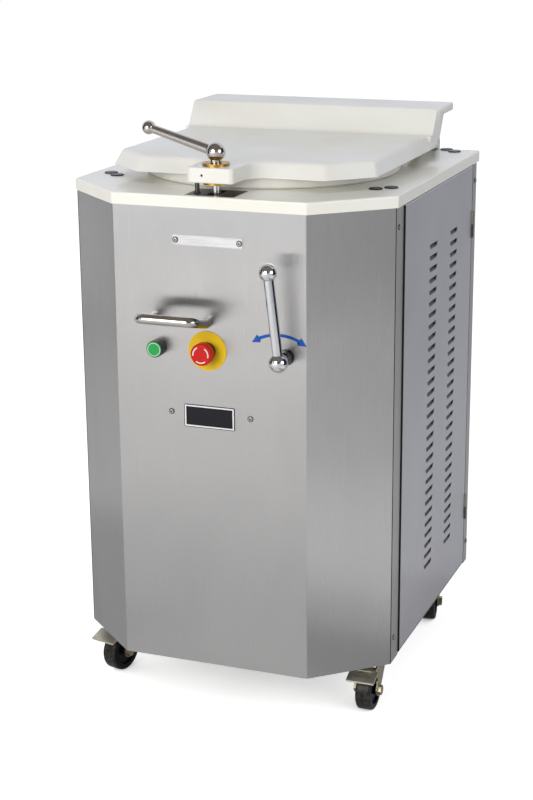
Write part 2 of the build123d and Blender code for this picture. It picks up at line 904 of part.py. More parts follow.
lid_low = lid_section(lid_bottom, 0, 0, 0)
lid_high = lid_section(lid_top, lid_front_slope, lid_chamfer_slope, lid_side_slope)
ledge_top = table_height + ledge_height
ledge_bottom = ledge_top - ledge_thickness
across = Plane((0, 0, 0), (0, 1, 0), (1, 0, 0))
with BuildPart() as lid:
    loft([lid_low, lid_high], ruled=True)
    with BuildSketch(across.offset(-lid_half_width)):
        with BuildLine():
            FilletPolyline(
                (ledge_foot - ledge_fillet, lid_top),
                (ledge_foot, lid_top),
                (ledge_front, ledge_top),
                radius=ledge_fillet,
            )
            Polyline(
                (ledge_front, ledge_top),
                (ledge_rear, ledge_top),
                (ledge_rear + ledge_lean, ledge_bottom),
                (ledge_web_rear, ledge_bottom),
                (lid_rear, lid_bottom + lid_thickness / 2),
                (ledge_foot - ledge_fillet, lid_bottom + lid_thickness / 2),
                (ledge_foot - ledge_fillet, lid_top),
            )
        make_face()
    extrude(amount=2 * lid_half_width)
    for side in (-1, 1):
        with BuildSketch(across.offset(side * lug_centre)):
            Polygon(
                (lid_rear - lid_thickness, lid_bottom + lid_thickness / 2),
                (ledge_web_rear, ledge_bottom + lug_weld),
                (hinge_axis[0], ledge_bottom + lug_weld),
                (hinge_axis[0] + lug_radius, hinge_axis[1]),
                (hinge_axis[0], hinge_axis[1] - lug_radius),
                align=None,
            )
            with Locations(hinge_axis):
                Circle(lug_radius)
        extrude(amount=lug_thickness / 2, both=True)
        with BuildSketch(across.offset(side * lug_centre)):
            with Locations(hinge_axis):
                Circle(lid_pin / 2 + running_fit)
        extrude(amount=lug_thickness, both=True, mode=Mode.SUBTRACT)
    with BuildSketch(Plane.XY.offset(lid_bottom)):
        with Locations((0, clamp_y)):
            Circle(clamp_sleeve / 2 + running_fit)
        with Locations(locating_pin_place):
            Circle(locating_pin / 2 + running_fit)
    extrude(amount=lid_thickness, mode=Mode.SUBTRACT)
    with BuildSketch(Plane.XY.offset(lid_bottom)):
        with Locations((0, chamber_y)):
            Circle(chamber_radius)
    extrude(amount=lid_thickness - lid_wall, mode=Mode.SUBTRACT)
    with BuildSketch(Plane((0, tongue_front, 0), (1, 0, 0), (0, -1, 0))):
        with Locations((set_screw_x, lid_bottom + lid_thickness / 2)):
            Circle(set_screw_hole / 2)
    extrude(amount=-tongue_corner, mode=Mode.SUBTRACT)
lid.part.label = "lid"
export_step(lid.part, "parts/lid.step")

# Round press disc under the lid, which closes the chamber
with BuildPart() as lid_press_disc:
    with BuildSketch(Plane.XY.offset(table_height + disc_gap)):
        with Locations((0, chamber_y)):
            Circle(chamber_radius + disc_overlap)
    extrude(amount=lid_lift - disc_gap)
    chamfer(lid_press_disc.edges().group_by(Axis.Z)[0], length=disc_chamfer)
lid_press_disc.part.label = "lid_press_disc"
export_step(lid_press_disc.part, "parts/lid_press_disc.step")

# Hinge blocks on the table, each with the pin that its lug turns on
with BuildPart() as lid_hinges:
    for side in (-1, 1):
        block_x = side * (lug_centre + lug_thickness / 2 + seat_gap + hinge_block_width / 2)
        pin_inner = side * (lug_centre - lug_thickness / 2)
        with BuildSketch(Plane.XY.offset(table_height)):
            with Locations((block_x, hinge_axis[0])):
                Rectangle(hinge_block_width, hinge_block_depth)
        extrude(amount=hinge_block_height)
        with BuildSketch(across.offset(pin_inner)):
            with Locations(hinge_axis):
                Circle(lid_pin / 2)
        extrude(amount=side * (lug_thickness + hinge_block_width / 2))
lid_hinges.part.label = "lid_hinges"
export_step(lid_hinges.part, "parts/lid_hinges.step")

# Brass flanged bushes above and below the tongue, and the steel locating pin beside them
with BuildPart() as clamp_bushes:
    for level, flange, way in ((lid_top, clamp_flange_top, 1), (lid_bottom, clamp_flange_bottom, -1)):
        with BuildSketch(Plane.XY.offset(level)):
            with Locations((0, clamp_y)):
                Circle(flange / 2)
        extrude(amount=way * clamp_flange_thickness)
        with BuildSketch(Plane.XY.offset(level)):
            with Locations((0, clamp_y)):
                Circle(clamp_sleeve / 2)
        extrude(amount=-way * clamp_sleeve_length)
    with BuildSketch(Plane.XY.offset(table_height)):
        with Locations((0, clamp_y)):
            Circle(clamp_shaft_diameter / 2 + running_fit)
    extrude(amount=clamp_hub_height, mode=Mode.SUBTRACT)
clamp_bushes.part.label = "clamp_bushes"
export_step(clamp_bushes.part, "parts/clamp_bushes.step")

with BuildPart() as lid_locating_pin:
    with BuildSketch(Plane.XY.offset(table_height - locating_pin_depth)):
        with Locations(locating_pin_place):
            Circle(locating_pin / 2)
    extrude(amount=locating_pin_depth + lid_lift + lid_thickness / 2)
    chamfer(lid_locating_pin.edges().group_by(Axis.Z)[0], length=locating_pin / 8)
lid_locating_pin.part.label = "lid_locating_pin"
export_step(lid_locating_pin.part, "parts/lid_locating_pin.step")


# Ball levers: a hub ball, a straight arm and a ball at the end
def ball_lever(hub, direction, length, hub_diameter, arm_root, arm_tip, ball, neck, neck_end):
    """A lever whose neck runs from the hub ball to a given point on the axis it turns about."""
    neck_run = Vector(*neck_end) - Vector(*hub)
    along = Plane(hub, direction, Vector(*direction).cross(neck_run))
    with BuildPart() as lever:
        with BuildSketch(along):
            Circle(hub_diameter / 2)
            with Locations((length, 0)):
                Circle(ball / 2)
            Polygon((0, 0), (length, 0), (length, arm_tip / 2), (0, arm_root / 2), align=None)
            with Locations((length / 2, -length / 2)):
                Rectangle(2 * length, length, mode=Mode.SUBTRACT)
        revolve(axis=Axis(hub, direction))
        with BuildSketch(Plane(hub, z_dir=neck_run)):
            Circle(neck / 2)
        extrude(amount=neck_run.length)
    return lever


clamp_hub_place = (0, clamp_y, table_height + clamp_hub_height)
clamp_neck_end = lid_top + clamp_flange_thickness + seat_gap
clamp_lift = math.radians(clamp_arm_rise)
clamp_back = math.radians(clamp_arm_back)
clamp_direction = (
    -math.cos(clamp_lift) * math.cos(clamp_back),
    math.cos(clamp_lift) * math.sin(clamp_back),
    math.sin(clamp_lift),
)
clamp_lever = ball_lever(
    clamp_hub_place,
    clamp_direction,
    clamp_arm_length,
    clamp_hub,
    clamp_arm_root,
    clamp_arm_tip,
    clamp_ball,
    clamp_neck,
    (0, clamp_y, clamp_neck_end),
)
clamp_lever.part.label = "clamp_lever"
export_step(clamp_lever.part, "parts/clamp_lever.step")

# Clamp shaft with the cross bar that turns under the latch plate
bar_top = table_height - latch_thickness - clamp_bar_gap
with BuildPart() as clamp_shaft:
    with BuildSketch(Plane.XY.offset(clamp_neck_end)):
        with Locations((0, clamp_y)):
            Circle(clamp_shaft_diameter / 2)
    extrude(amount=bar_top - clamp_bar_height - clamp_neck_end)
    with BuildSketch(Plane.XY.offset(bar_top)):
        with Locations((0, clamp_y)):
            Rectangle(clamp_bar_width, clamp_bar_length)
    extrude(amount=-clamp_bar_height)
clamp_shaft.part.label = "clamp_shaft"
export_step(clamp_shaft.part, "parts/clamp_shaft.step")

# Grab handle: a bent bar whose feet are bolted through the front panel
bar_front = skin_front - handle_reach
bar_z = handle_z + handle_rise
with BuildPart() as grab_handle:
    with BuildLine():
        FilletPolyline(
            (handle_left, skin_front, handle_z),
            (handle_left, skin_front - handle_foot, handle_z),
            (handle_left, bar_front, bar_z),
            (handle_right, bar_front, bar_z),
            (handle_right, skin_front - handle_foot, handle_z),
            (handle_right, skin_front, handle_z),
            radius=handle_bend,
        )
    with BuildSketch(front_face):
        with Locations((handle_left, handle_z)):
            Circle(handle_diameter / 2)
    sweep()
    with BuildSketch(front_face):
        with Locations((handle_left, handle_z), (handle_right, handle_z)):
            Circle(handle_stud / 2)
    extrude(amount=-handle_stud_length)
    with BuildSketch(front_face.offset(-sheet)):
        with Locations((handle_left, handle_z), (handle_right, handle_z)):
            RegularPolygon(handle_nut / 2, 6, major_radius=False)
    extrude(amount=-handle_stud)
grab_handle.part.label = "grab_handle"
export_step(grab_handle.part, "parts/grab_handle.step")


# Switch bodies: a collar outside the panel, a threaded barrel through it and a contact block inside
def switch_body(x, seat, collar, collar_length, bore, bore_depth):
    """A panel switch without its moving head; seat is how far its collar stands off the panel."""
    with BuildPart() as body:
        with BuildSketch(front_face.offset(seat)):
            with Locations((x, control_height)):
                Circle(collar / 2)
        extrude(amount=collar_length)
        fillet(body.faces().sort_by(Axis.Y)[0].edges(), radius=switch_round)
        with BuildSketch(front_face.offset(seat)):
            with Locations((x, control_height)):
                Circle(switch_barrel / 2)
        extrude(amount=-seat - sheet - switch_barrel / 2)
        with BuildSketch(front_face.offset(-sheet)):
            with Locations((x, control_height)):
                Rectangle(contact_block, contact_block)
        extrude(amount=-contact_block_length)
        with BuildSketch(front_face.offset(seat + collar_length)):
            with Locations((x, control_height)):
                Circle(bore / 2 + running_fit)
        extrude(amount=-bore_depth, mode=Mode.SUBTRACT)
    return body


start_switch_body = switch_body(
    start_x,
    0,
    switch_collar,
    switch_collar_length,
    start_cap,
    start_cap_length + start_bore_spare,
)
start_switch_body.part.label = "start_switch_body"
export_step(start_switch_body.part, "parts/start_switch_body.step")

estop_room = estop_collar_length + estop_travel + contact_block_length / 2
estop_switch_body = switch_body(
    estop_x, estop_disc_thickness, estop_collar, estop_collar_length, estop_stem_diameter, estop_room
)
estop_switch_body.part.label = "estop_switch_body"
export_step(estop_switch_body.part, "parts/estop_switch_body.step")

with BuildPart() as estop_disc_plate:
    with BuildSketch(front_face):
        with Locations((estop_x, control_height)):
            Circle(estop_disc / 2)
            Circle(switch_barrel / 2 + hole_clearance, mode=Mode.SUBTRACT)
    extrude(amount=estop_disc_thickness)
estop_disc_plate.part.label = "estop_disc_plate"
export_step(estop_disc_plate.part, "parts/estop_disc_plate.step")

# Green start button cap, sliding in its collar
start_rest = switch_collar_length - start_cap_length + start_travel
with BuildPart() as start_button_cap:
    with BuildSketch(front_face.offset(start_rest)):
        with Locations((start_x, control_height)):
            Circle(start_cap / 2)
    extrude(amount=start_cap_length - start_travel + button_proud)
    fillet(start_button_cap.faces().sort_by(Axis.Y)[0].edges(), radius=switch_round)
start_button_cap.part.label = "start_button_cap"
export_step(start_button_cap.part, "parts/start_button_cap.step")

# Emergency stop: a stem that slides in the body and a red mushroom head that twists on the stem
estop_front = estop_disc_thickness + estop_collar_length
head_seat = estop_front + estop_travel + seat_gap
with BuildPart() as estop_stem:
    with BuildSketch(front_face.offset(head_seat)):
        with Locations((estop_x, control_height)):
            Circle(estop_stem_diameter / 2)
    extrude(amount=-estop_room)
    with BuildSketch(front_face.offset(head_seat)):
        with Locations((estop_x, control_height)):
            Circle(estop_stem_diameter / 4)
    extrude(amount=estop_head_height / 2)
estop_stem.part.label = "estop_stem"
export_step(estop_stem.part, "parts/estop_stem.step")

with BuildPart() as estop_head:
    with BuildSketch(front_face.offset(head_seat + seat_gap)):
        with Locations((estop_x, control_height)):
            Circle(estop_head_diameter / 2)
    extrude(amount=estop_head_height)
    fillet(estop_head.faces().sort_by(Axis.Y)[0].edges(), radius=estop_head_round)
    with BuildSketch(front_face.offset(head_seat)):
        with Locations((estop_x, control_height)):
            Circle(estop_stem_diameter / 4 + running_fit)
    extrude(amount=estop_head_height / 2 + 2 * seat_gap, mode=Mode.SUBTRACT)
estop_head.part.label = "estop_head"
export_step(estop_head.part, "parts/estop_head.step")

# Press lever with its bush in the panel and its shaft into the valve block
bush_thread = lever_boss / 2 - 2 * hole_clearance
with BuildPart() as lever_bush:
    with BuildSketch(front_face):
        with Locations((lever_x, lever_z)):
            Circle(lever_flange / 2)
    extrude(amount=lever_flange_thickness)
    with BuildSketch(front_face):
        with Locations((lever_x, lever_z)):
            Circle(lever_boss / 2)
    extrude(amount=lever_boss_length)
    with BuildSketch(front_face):
        with Locations((lever_x, lever_z)):
            Circle(bush_thread)
    extrude(amount=-sheet)
    with BuildSketch(front_face.offset(lever_boss_length)):
        with Locations((lever_x, lever_z)):
            Circle(lever_shaft / 2 + running_fit)
    extrude(amount=-lever_boss_length - sheet, mode=Mode.SUBTRACT)
    fillet(lever_bush.faces().sort_by(Axis.Y)[0].outer_wire().edges(), radius=lever_boss_round)
lever_bush.part.label = "lever_bush"
export_step(lever_bush.part, "parts/lever_bush.step")

lever_sideways = math.radians(lever_lean)
lever_out = math.radians(lever_outward)
lever_hub_place = (lever_x, skin_front - lever_hub_reach, lever_z)
lever_neck_y = skin_front - lever_boss_length - seat_gap
press_lever = ball_lever(
    lever_hub_place,
    (
        -math.sin(lever_sideways) * math.cos(lever_out),
        -math.sin(lever_out),
        math.cos(lever_sideways) * math.cos(lever_out),
    ),
    lever_length,
    lever_hub,
    lever_arm,
    lever_arm,
    lever_ball,
    lever_neck,
    (lever_x, lever_neck_y, lever_z),
)
press_lever.part.label = "press_lever"
export_step(press_lever.part, "parts/press_lever.step")

with BuildPart() as press_lever_shaft:
    with BuildSketch(Plane((lever_x, lever_neck_y, lever_z), (1, 0, 0), (0, 1, 0))):
        Circle(lever_shaft / 2)
    extrude(amount=skin_front + sheet + valve_bore_depth - seat_gap - lever_neck_y)
press_lever_shaft.part.label = "press_lever_shaft"
export_step(press_lever_shaft.part, "parts/press_lever_shaft.step")

with BuildPart() as valve_block:
    with BuildSketch(front_face.offset(-sheet)):
        with Locations((lever_x, lever_z)):
            Rectangle(valve_width, valve_height)
    extrude(amount=-valve_depth)
    with BuildSketch(front_face.offset(-sheet)):
        with Locations((lever_x, lever_z)):
            Circle(lever_shaft / 2 + running_fit)
    extrude(amount=-valve_bore_depth, mode=Mode.SUBTRACT)
    chamfer(valve_block.edges().filter_by(Axis.Z), length=valve_chamfer)
valve_block.part.label = "valve_block"
export_step(valve_block.part, "parts/valve_block.step")

# Oil tank on the base, with the pump unit standing on it
tank_top = base_top + tank_size[2]
pump_motor_height = bridge_bottom - pump_room - tank_top - pump_bell_height
with BuildPart() as oil_tank:
    with BuildSketch(Plane.XY.offset(base_top)):
        Rectangle(tank_size[0], tank_size[1])
    extrude(amount=tank_size[2])
    fillet(oil_tank.edges().filter_by(Axis.Z), radius=tank_corner)
    with BuildSketch(Plane.XY.offset(tank_top)):
        with Locations((tank_size[0] / 2 - tank_cap_diameter, tank_size[1] / 2 - tank_cap_diameter)):
            Circle(tank_cap_diameter / 2)
    extrude(amount=tank_cap_height)
oil_tank.part.label = "oil_tank"
export_step(oil_tank.part, "parts/oil_tank.step")

with BuildPart() as pump_unit:
    with BuildSketch(Plane.XY.offset(tank_top)):
        Circle(pump_bell / 2)
    extrude(amount=pump_bell_height)
    with BuildSketch(Plane.XY.offset(tank_top + pump_bell_height)):
        Circle(pump_motor / 2)
    extrude(amount=pump_motor_height)
    fillet(pump_unit.edges().group_by(Axis.Z)[-1], radius=motor_corner)
pump_unit.part.label = "pump_unit"
export_step(pump_unit.part, "parts/pump_unit.step")

# Control box on the inside of the rear panel
with BuildPart() as control_box:
    with BuildSketch(rear_face.offset(-sheet)):
        with Locations((-control_box_x, cabinet_floor + control_box_lift + control_box_size[2] / 2)):
            Rectangle(control_box_size[0], control_box_size[2])
    extrude(amount=-control_box_size[1])
    fillet(control_box.edges().filter_by(Axis.Y), radius=box_corner)
control_box.part.label = "control_box"
export_step(control_box.part, "parts/control_box.step")

# Mains cable gland through the rear panel
gland_length = gland_dome_length + gland_hex_height + sheet + gland_nut_height + gland_tail
with BuildPart() as cable_gland:
    with BuildSketch(rear_face):
        with Locations((-gland_x, gland_z)):
            RegularPolygon(gland_hex / 2, 6, major_radius=False)
    extrude(amount=gland_hex_height)
    with BuildSketch(rear_face.offset(gland_hex_height)):
        with Locations((-gland_x, gland_z)):
            Circle(gland_dome / 2)
    extrude(amount=gland_dome_length)
    fillet(cable_gland.faces().sort_by(Axis.Y)[-1].edges(), radius=gland_round)
    with BuildSketch(rear_face):
        with Locations((-gland_x, gland_z)):
            Circle(gland_thread / 2)
    extrude(amount=-sheet - gland_nut_height - gland_tail)
    with BuildSketch(rear_face.offset(-sheet)):
        with Locations((-gland_x, gland_z)):
            RegularPolygon(gland_hex / 2, 6, major_radius=False)
    extrude(amount=-gland_nut_height)
    with BuildSketch(rear_face.offset(gland_hex_height + gland_dome_length)):
        with Locations((-gland_x, gland_z)):
            Circle(gland_bore / 2)
    extrude(amount=-gland_length, mode=Mode.SUBTRACT)
cable_gland.part.label = "cable_gland"
export_step(cable_gland.part, "parts/cable_gland.step")

# Drive deck: a plate on the side rails, open in the middle for the press
deck_front = front_post[1] + tube / 2 + tube_gap
deck_rear = rear_post[1] - tube / 2 - tube_gap
deck_width = 2 * (rail_side + tube / 2 - tube_gap)
stud_places = [(motor_place[0] + x, motor_place[1] + y) for x, y in motor_stud_places]
with BuildPart() as drive_deck:
    with BuildSketch(Plane.XY.offset(deck_bottom)):
        with Locations((0, (deck_front + deck_rear) / 2)):
            Rectangle(deck_width, deck_rear - deck_front)
        with Locations((0, chamber_y)):
            Circle(deck_hole_radius, mode=Mode.SUBTRACT)
        with Locations(*crank_places):
            Circle(crank_shaft / 2 + crank_gap, mode=Mode.SUBTRACT)
    extrude(amount=deck_thickness)
drive_deck.part.label = "drive_deck"
export_step(drive_deck.part, "parts/drive_deck.step")

with BuildPart() as bearing_housings:
    with BuildSketch(Plane.XY.offset(deck_top)):
        with Locations(*crank_places):
            Circle(housing_diameter / 2)
            Circle(crank_shaft / 2 + running_fit, mode=Mode.SUBTRACT)
    extrude(amount=housing_height)
bearing_housings.part.label = "bearing_housings"
export_step(bearing_housings.part, "parts/bearing_housings.step")


# Crank shafts: each carries an eccentric pin above its disc and a collar or pulley below the deck
def crank_shaft_part(place, tail):
    """One crank at rest, with its pin offset to the right by the orbit radius."""
    with BuildPart() as crank:
        with BuildSketch(Plane.XY.offset(deck_bottom - tail)):
            with Locations(place):
                Circle(crank_shaft / 2)
        extrude(amount=crank_disc_bottom - deck_bottom + tail)
        with BuildSketch(Plane.XY.offset(crank_disc_bottom)):
            with Locations(place):
                Circle(crank_disc / 2)
        extrude(amount=crank_disc_thickness)
        with BuildSketch(Plane.XY.offset(crank_disc_top)):
            with Locations((place[0] + orbit, place[1])):
                Circle(crank_pin / 2)
        extrude(amount=crank_gap + carriage_thickness)
        if tail == idler_tail:
            with BuildSketch(Plane.XY.offset(deck_bottom - seat_gap)):
                with Locations(place):
                    Circle(collar_diameter / 2)
            extrude(amount=-collar_height)
        else:
            with BuildSketch(Plane.XY.offset(deck_bottom - pulley_drop)):
                with Locations(place):
                    Circle(pulley_diameter / 2 + pulley_rim)
            extrude(amount=-pulley_height)
            with BuildSketch(Plane.XY.offset(belt_top)):
                with Locations(place):
                    Circle(pulley_diameter / 2 + 2 * pulley_rim)
                    Circle(pulley_diameter / 2, mode=Mode.SUBTRACT)
            extrude(amount=-belt_width - 2 * crank_gap, mode=Mode.SUBTRACT)
    return crank.part


belt_top = deck_bottom - pulley_drop - (pulley_height - belt_width) / 2 + crank_gap
drive_eccentric = crank_shaft_part(crank_places[0], pulley_drop + pulley_height + crank_gap)
drive_eccentric.label = "drive_eccentric"
export_step(drive_eccentric, "parts/drive_eccentric.step")
for side_name, place in (("right", crank_places[1]), ("left", crank_places[2])):
    idler = crank_shaft_part(place, idler_tail)
    idler.label = "idler_eccentric_" + side_name
    export_step(idler, "parts/idler_eccentric_" + side_name + ".step")

# Rounding motor hung from the deck, its pulley and the flat belt to the driven eccentric
motor_top = deck_bottom - motor_drop
with BuildPart() as rounding_motor:
    with BuildSketch(Plane.XY.offset(motor_top)):
        with Locations(motor_place):
            RectangleRounded(motor_flange, motor_flange, radius=motor_corner)
    extrude(amount=-motor_flange_thickness)
    with BuildSketch(Plane.XY.offset(motor_top - motor_flange_thickness)):
        with Locations(motor_place):
            Circle(motor_diameter / 2)
    extrude(amount=-motor_length)
    fillet(rounding_motor.edges().group_by(Axis.Z)[0], radius=motor_corner)
    with BuildSketch(Plane.XY.offset(motor_top)):
        with Locations(*stud_places):
            Circle(motor_stud / 2)
    extrude(amount=motor_drop)
rounding_motor.part.label = "rounding_motor"
export_step(rounding_motor.part, "parts/rounding_motor.step")

with BuildPart() as motor_pulley:
    with BuildSketch(Plane.XY.offset(motor_top + seat_gap)):
        with Locations(motor_place):
            Circle(motor_shaft / 2)
    extrude(amount=motor_drop - pulley_drop - seat_gap)
    with BuildSketch(Plane.XY.offset(deck_bottom - pulley_drop)):
        with Locations(motor_place):
            Circle(motor_pulley_diameter / 2 + pulley_rim)
    extrude(amount=-pulley_height)
    with BuildSketch(Plane.XY.offset(belt_top)):
        with Locations(motor_place):
            Circle(motor_pulley_diameter / 2 + 2 * pulley_rim)
            Circle(motor_pulley_diameter / 2, mode=Mode.SUBTRACT)
    extrude(amount=-belt_width - 2 * crank_gap, mode=Mode.SUBTRACT)
motor_pulley.part.label = "motor_pulley"
export_step(motor_pulley.part, "parts/motor_pulley.step")


def belt_loop(grow):
    """The outline of the belt, grown from the pulley surfaces."""
    with BuildSketch(Plane.XY.offset(belt_top - crank_gap)) as loop:
        with Locations(crank_places[0]):
            Circle(pulley_diameter / 2 + grow)
        with Locations(motor_place):
            Circle(motor_pulley_diameter / 2 + grow)
        make_hull()
    return loop.sketch


belt_outer = belt_loop(belt_gap + belt_thickness)
belt_inner = belt_loop(belt_gap)
with BuildPart() as drive_belt:
    extrude(belt_outer, amount=-belt_width)
    extrude(belt_inner, amount=-belt_width, mode=Mode.SUBTRACT)
drive_belt.part.label = "drive_belt"
export_step(drive_belt.part, "parts/drive_belt.step")

# Rounding carriage: a ring plate with three arms on the crank pins, and the chamber drum on it.
# It stands to the right of the chamber's centre by the orbit radius, as the cranks do at rest.
orbit_x = orbit
with BuildPart() as rounding_carriage:
    with BuildSketch(Plane.XY.offset(carriage_bottom)):
        with Locations((orbit_x, chamber_y)):
            Circle(hanger_radius + orbit_gap)
        with Locations(*[(place[0] + orbit_x, place[1]) for place in crank_places]):
            Circle(housing_diameter / 2)
        for angle in crank_angles:
            with Locations(Location((orbit_x, chamber_y, 0), (0, 0, angle))):
                with Locations(((chamber_radius + crank_ring) / 2, 0)):
                    Rectangle(crank_ring - chamber_radius, housing_diameter)
        with Locations((orbit_x, chamber_y)):
            Circle(chamber_radius, mode=Mode.SUBTRACT)
        with Locations(*[(place[0] + orbit_x, place[1]) for place in crank_places]):
            Circle(crank_pin / 2 + running_fit, mode=Mode.SUBTRACT)
    extrude(amount=carriage_thickness)
    with BuildSketch(Plane.XY.offset(carriage_top)):
        with Locations((orbit_x, chamber_y)):
            Circle(drum_radius)
            Circle(chamber_radius, mode=Mode.SUBTRACT)
    extrude(amount=drum_top - carriage_top)
rounding_carriage.part.label = "rounding_carriage"
export_step(rounding_carriage.part, "parts/rounding_carriage.step")

# Press cylinder: a barrel on a bridge that hangs from the carriage by four rods
hanger_places = [
    (orbit_x + sx * hanger_x, chamber_y + sy * hanger_spread / 2) for sx in (-1, 1) for sy in (-1, 1)
]
with BuildPart() as press_cylinder:
    with BuildSketch(Plane.XY.offset(bridge_bottom)):
        with Locations((orbit_x, chamber_y)):
            RectangleRounded(2 * hanger_x + 2 * hanger_diameter, bridge_depth, radius=hanger_diameter)
    extrude(amount=bridge_thickness)
    with BuildSketch(Plane.XY.offset(bridge_top)):
        with Locations(*hanger_places):
            Circle(hanger_diameter / 2)
    extrude(amount=carriage_bottom - bridge_top)
    with BuildSketch(Plane.XY.offset(bridge_top)):
        with Locations((orbit_x, chamber_y)):
            Circle(barrel_diameter / 2)
            Circle(piston_diameter / 2 + running_fit, mode=Mode.SUBTRACT)
    extrude(amount=barrel_length - barrel_head)
    with BuildSketch(Plane.XY.offset(barrel_top - barrel_head)):
        with Locations((orbit_x, chamber_y)):
            Circle(barrel_diameter / 2)
            Circle(ram_rod_diameter / 2 + running_fit, mode=Mode.SUBTRACT)
    extrude(amount=barrel_head)
press_cylinder.part.label = "press_cylinder"
export_step(press_cylinder.part, "parts/press_cylinder.step")

# Ram rod with its piston below and the cup that lifts the knives
with BuildPart() as ram_rod:
    with BuildSketch(Plane.XY.offset(bridge_top + seat_gap)):
        with Locations((orbit_x, chamber_y)):
            Circle(piston_diameter / 2)
    extrude(amount=piston_height)
    with BuildSketch(Plane.XY.offset(bridge_top + seat_gap)):
        with Locations((orbit_x, chamber_y)):
            Circle(ram_rod_diameter / 2)
    extrude(amount=plate_bottom - bridge_top - seat_gap)
    with BuildSketch(Plane.XY.offset(cup_bottom)):
        with Locations((orbit_x, chamber_y)):
            Circle(cup_diameter / 2)
    extrude(amount=cup_floor)
    with BuildSketch(Plane.XY.offset(cup_bottom)):
        with Locations((orbit_x, chamber_y)):
            Circle(cup_diameter / 2)
            Circle(carrier_sleeve / 2 + running_fit, mode=Mode.SUBTRACT)
    extrude(amount=cup_floor + cup_depth)
ram_rod.part.label = "ram_rod"
export_step(ram_rod.part, "parts/ram_rod.step")

# Press plate: a base disc with one block for each dough piece, parted by the knife slots
ring_edges = (0, *knife_rings, plate_radius)


def knife_lines(width):
    """Plan of the knife grid: ring and spoke walls of one width, up to the chamber wall."""
    with BuildSketch() as plan:
        for radius in knife_rings:
            with Locations((orbit_x, chamber_y)):
                Circle(radius + width / 2)
                Circle(radius - width / 2, mode=Mode.SUBTRACT)
        for inner, outer_edge, count in zip(ring_edges[:-1], ring_edges[1:], knife_spokes):
            with Locations((orbit_x, chamber_y)):
                with PolarLocations((inner + outer_edge) / 2, count):
                    Rectangle(outer_edge - inner, width)
    return plan.sketch


def tab_plan(thickness, width):
    """Plan of the tabs that carry the grid, spaced round its outer ring."""
    with BuildSketch() as plan:
        with Locations((orbit_x, chamber_y)):
            with PolarLocations(knife_rings[1], knife_spokes[0]):
                Rectangle(thickness, width)
    return plan.sketch


slot_plan = knife_lines(knife_slot)
tab_slot_plan = tab_plan(knife_slot, knife_tab + 2 * plate_gap)
with BuildPart() as press_plate:
    with BuildSketch(Plane.XY.offset(plate_bottom)):
        with Locations((orbit_x, chamber_y)):
            Circle(plate_radius)
    extrude(amount=plate_thickness + segment_height)
    with BuildSketch(Plane.XY.offset(plate_top)):
        add(slot_plan)
    extrude(amount=segment_height, mode=Mode.SUBTRACT)
    with BuildSketch(Plane.XY.offset(plate_bottom)):
        add(tab_slot_plan)
    extrude(amount=plate_thickness, mode=Mode.SUBTRACT)
press_plate.part.label = "press_plate"
export_step(press_plate.part, "parts/press_plate.step")

# Knife grid with the tabs that carry it through the press plate
knife_plan = knife_lines(knife_thickness)
tabs = tab_plan(knife_thickness, knife_tab)
with BuildPart() as knife_grid:
    with BuildSketch(Plane.XY.offset(plate_top + knife_floor_gap)):
        add(knife_plan)
    extrude(amount=segment_height - knife_floor_gap)
    with BuildSketch(Plane.XY.offset(carrier_top)):
        add(tabs)
    extrude(amount=plate_top + knife_floor_gap + knife_top_gap - carrier_top)
knife_grid.part.label = "knife_grid"
export_step(knife_grid.part, "parts/knife_grid.step")

# Knife carrier: a disc round the ram rod, with the sleeve that slides in the cup
with BuildPart() as knife_carrier:
    with BuildSketch(Plane.XY.offset(carrier_bottom)):
        with Locations((orbit_x, chamber_y)):
            Circle(carrier_radius)
    extrude(amount=carrier_thickness)
    with BuildSketch(Plane.XY.offset(carrier_bottom)):
        with Locations((orbit_x, chamber_y)):
            Circle(carrier_sleeve / 2)
    extrude(amount=-cup_depth - crank_gap + seat_gap)
    with BuildSketch(Plane.XY.offset(carrier_top)):
        with Locations((orbit_x, chamber_y)):
            Circle(ram_rod_diameter / 2 + running_fit)
    extrude(amount=-carrier_thickness - cup_depth - crank_gap, mode=Mode.SUBTRACT)
knife_carrier.part.label = "knife_carrier"
export_step(knife_carrier.part, "parts/knife_carrier.step")

# Castors: a plate with a race under the base, a fork that swivels in it and a wheel on an axle bolt
castor_x = table_half - castor_side_inset
castor_front_y = table_front + castor_front_inset
castor_rear_y = table_rear - castor_rear_inset
castor_places = {
    "front_left": (-castor_x, castor_front_y),
    "front_right": (castor_x, castor_front_y),
    "rear_left": (-castor_x, castor_rear_y),
    "rear_right": (castor_x, castor_rear_y),
}
race_bottom = cabinet_floor - castor_plate_thickness - castor_race_height
crown_top = race_bottom - seat_gap
crown_bottom = crown_top - castor_crown_height
axle_z = wheel_diameter / 2
leg_inner = wheel_width / 2 + castor_leg_gap
leg_outer = leg_inner + castor_leg

with BuildPart() as castor_plates:
    with BuildSketch(Plane.XY.offset(cabinet_floor)):
        with Locations(*castor_places.values()):
            RectangleRounded(castor_plate, castor_plate, radius=castor_plate_corner)
    extrude(amount=-castor_plate_thickness)
    with BuildSketch(Plane.XY.offset(cabinet_floor)):
        with Locations(*castor_places.values()):
            Circle(castor_race / 2)
    extrude(amount=-castor_plate_thickness - castor_race_height)
    with BuildSketch(Plane.XY.offset(race_bottom)):
        with Locations(*castor_places.values()):
            Circle(castor_kingpin / 2 + running_fit)
    extrude(amount=castor_race_height, mode=Mode.SUBTRACT)
castor_plates.part.label = "castor_plates"
export_step(castor_plates.part, "parts/castor_plates.step")


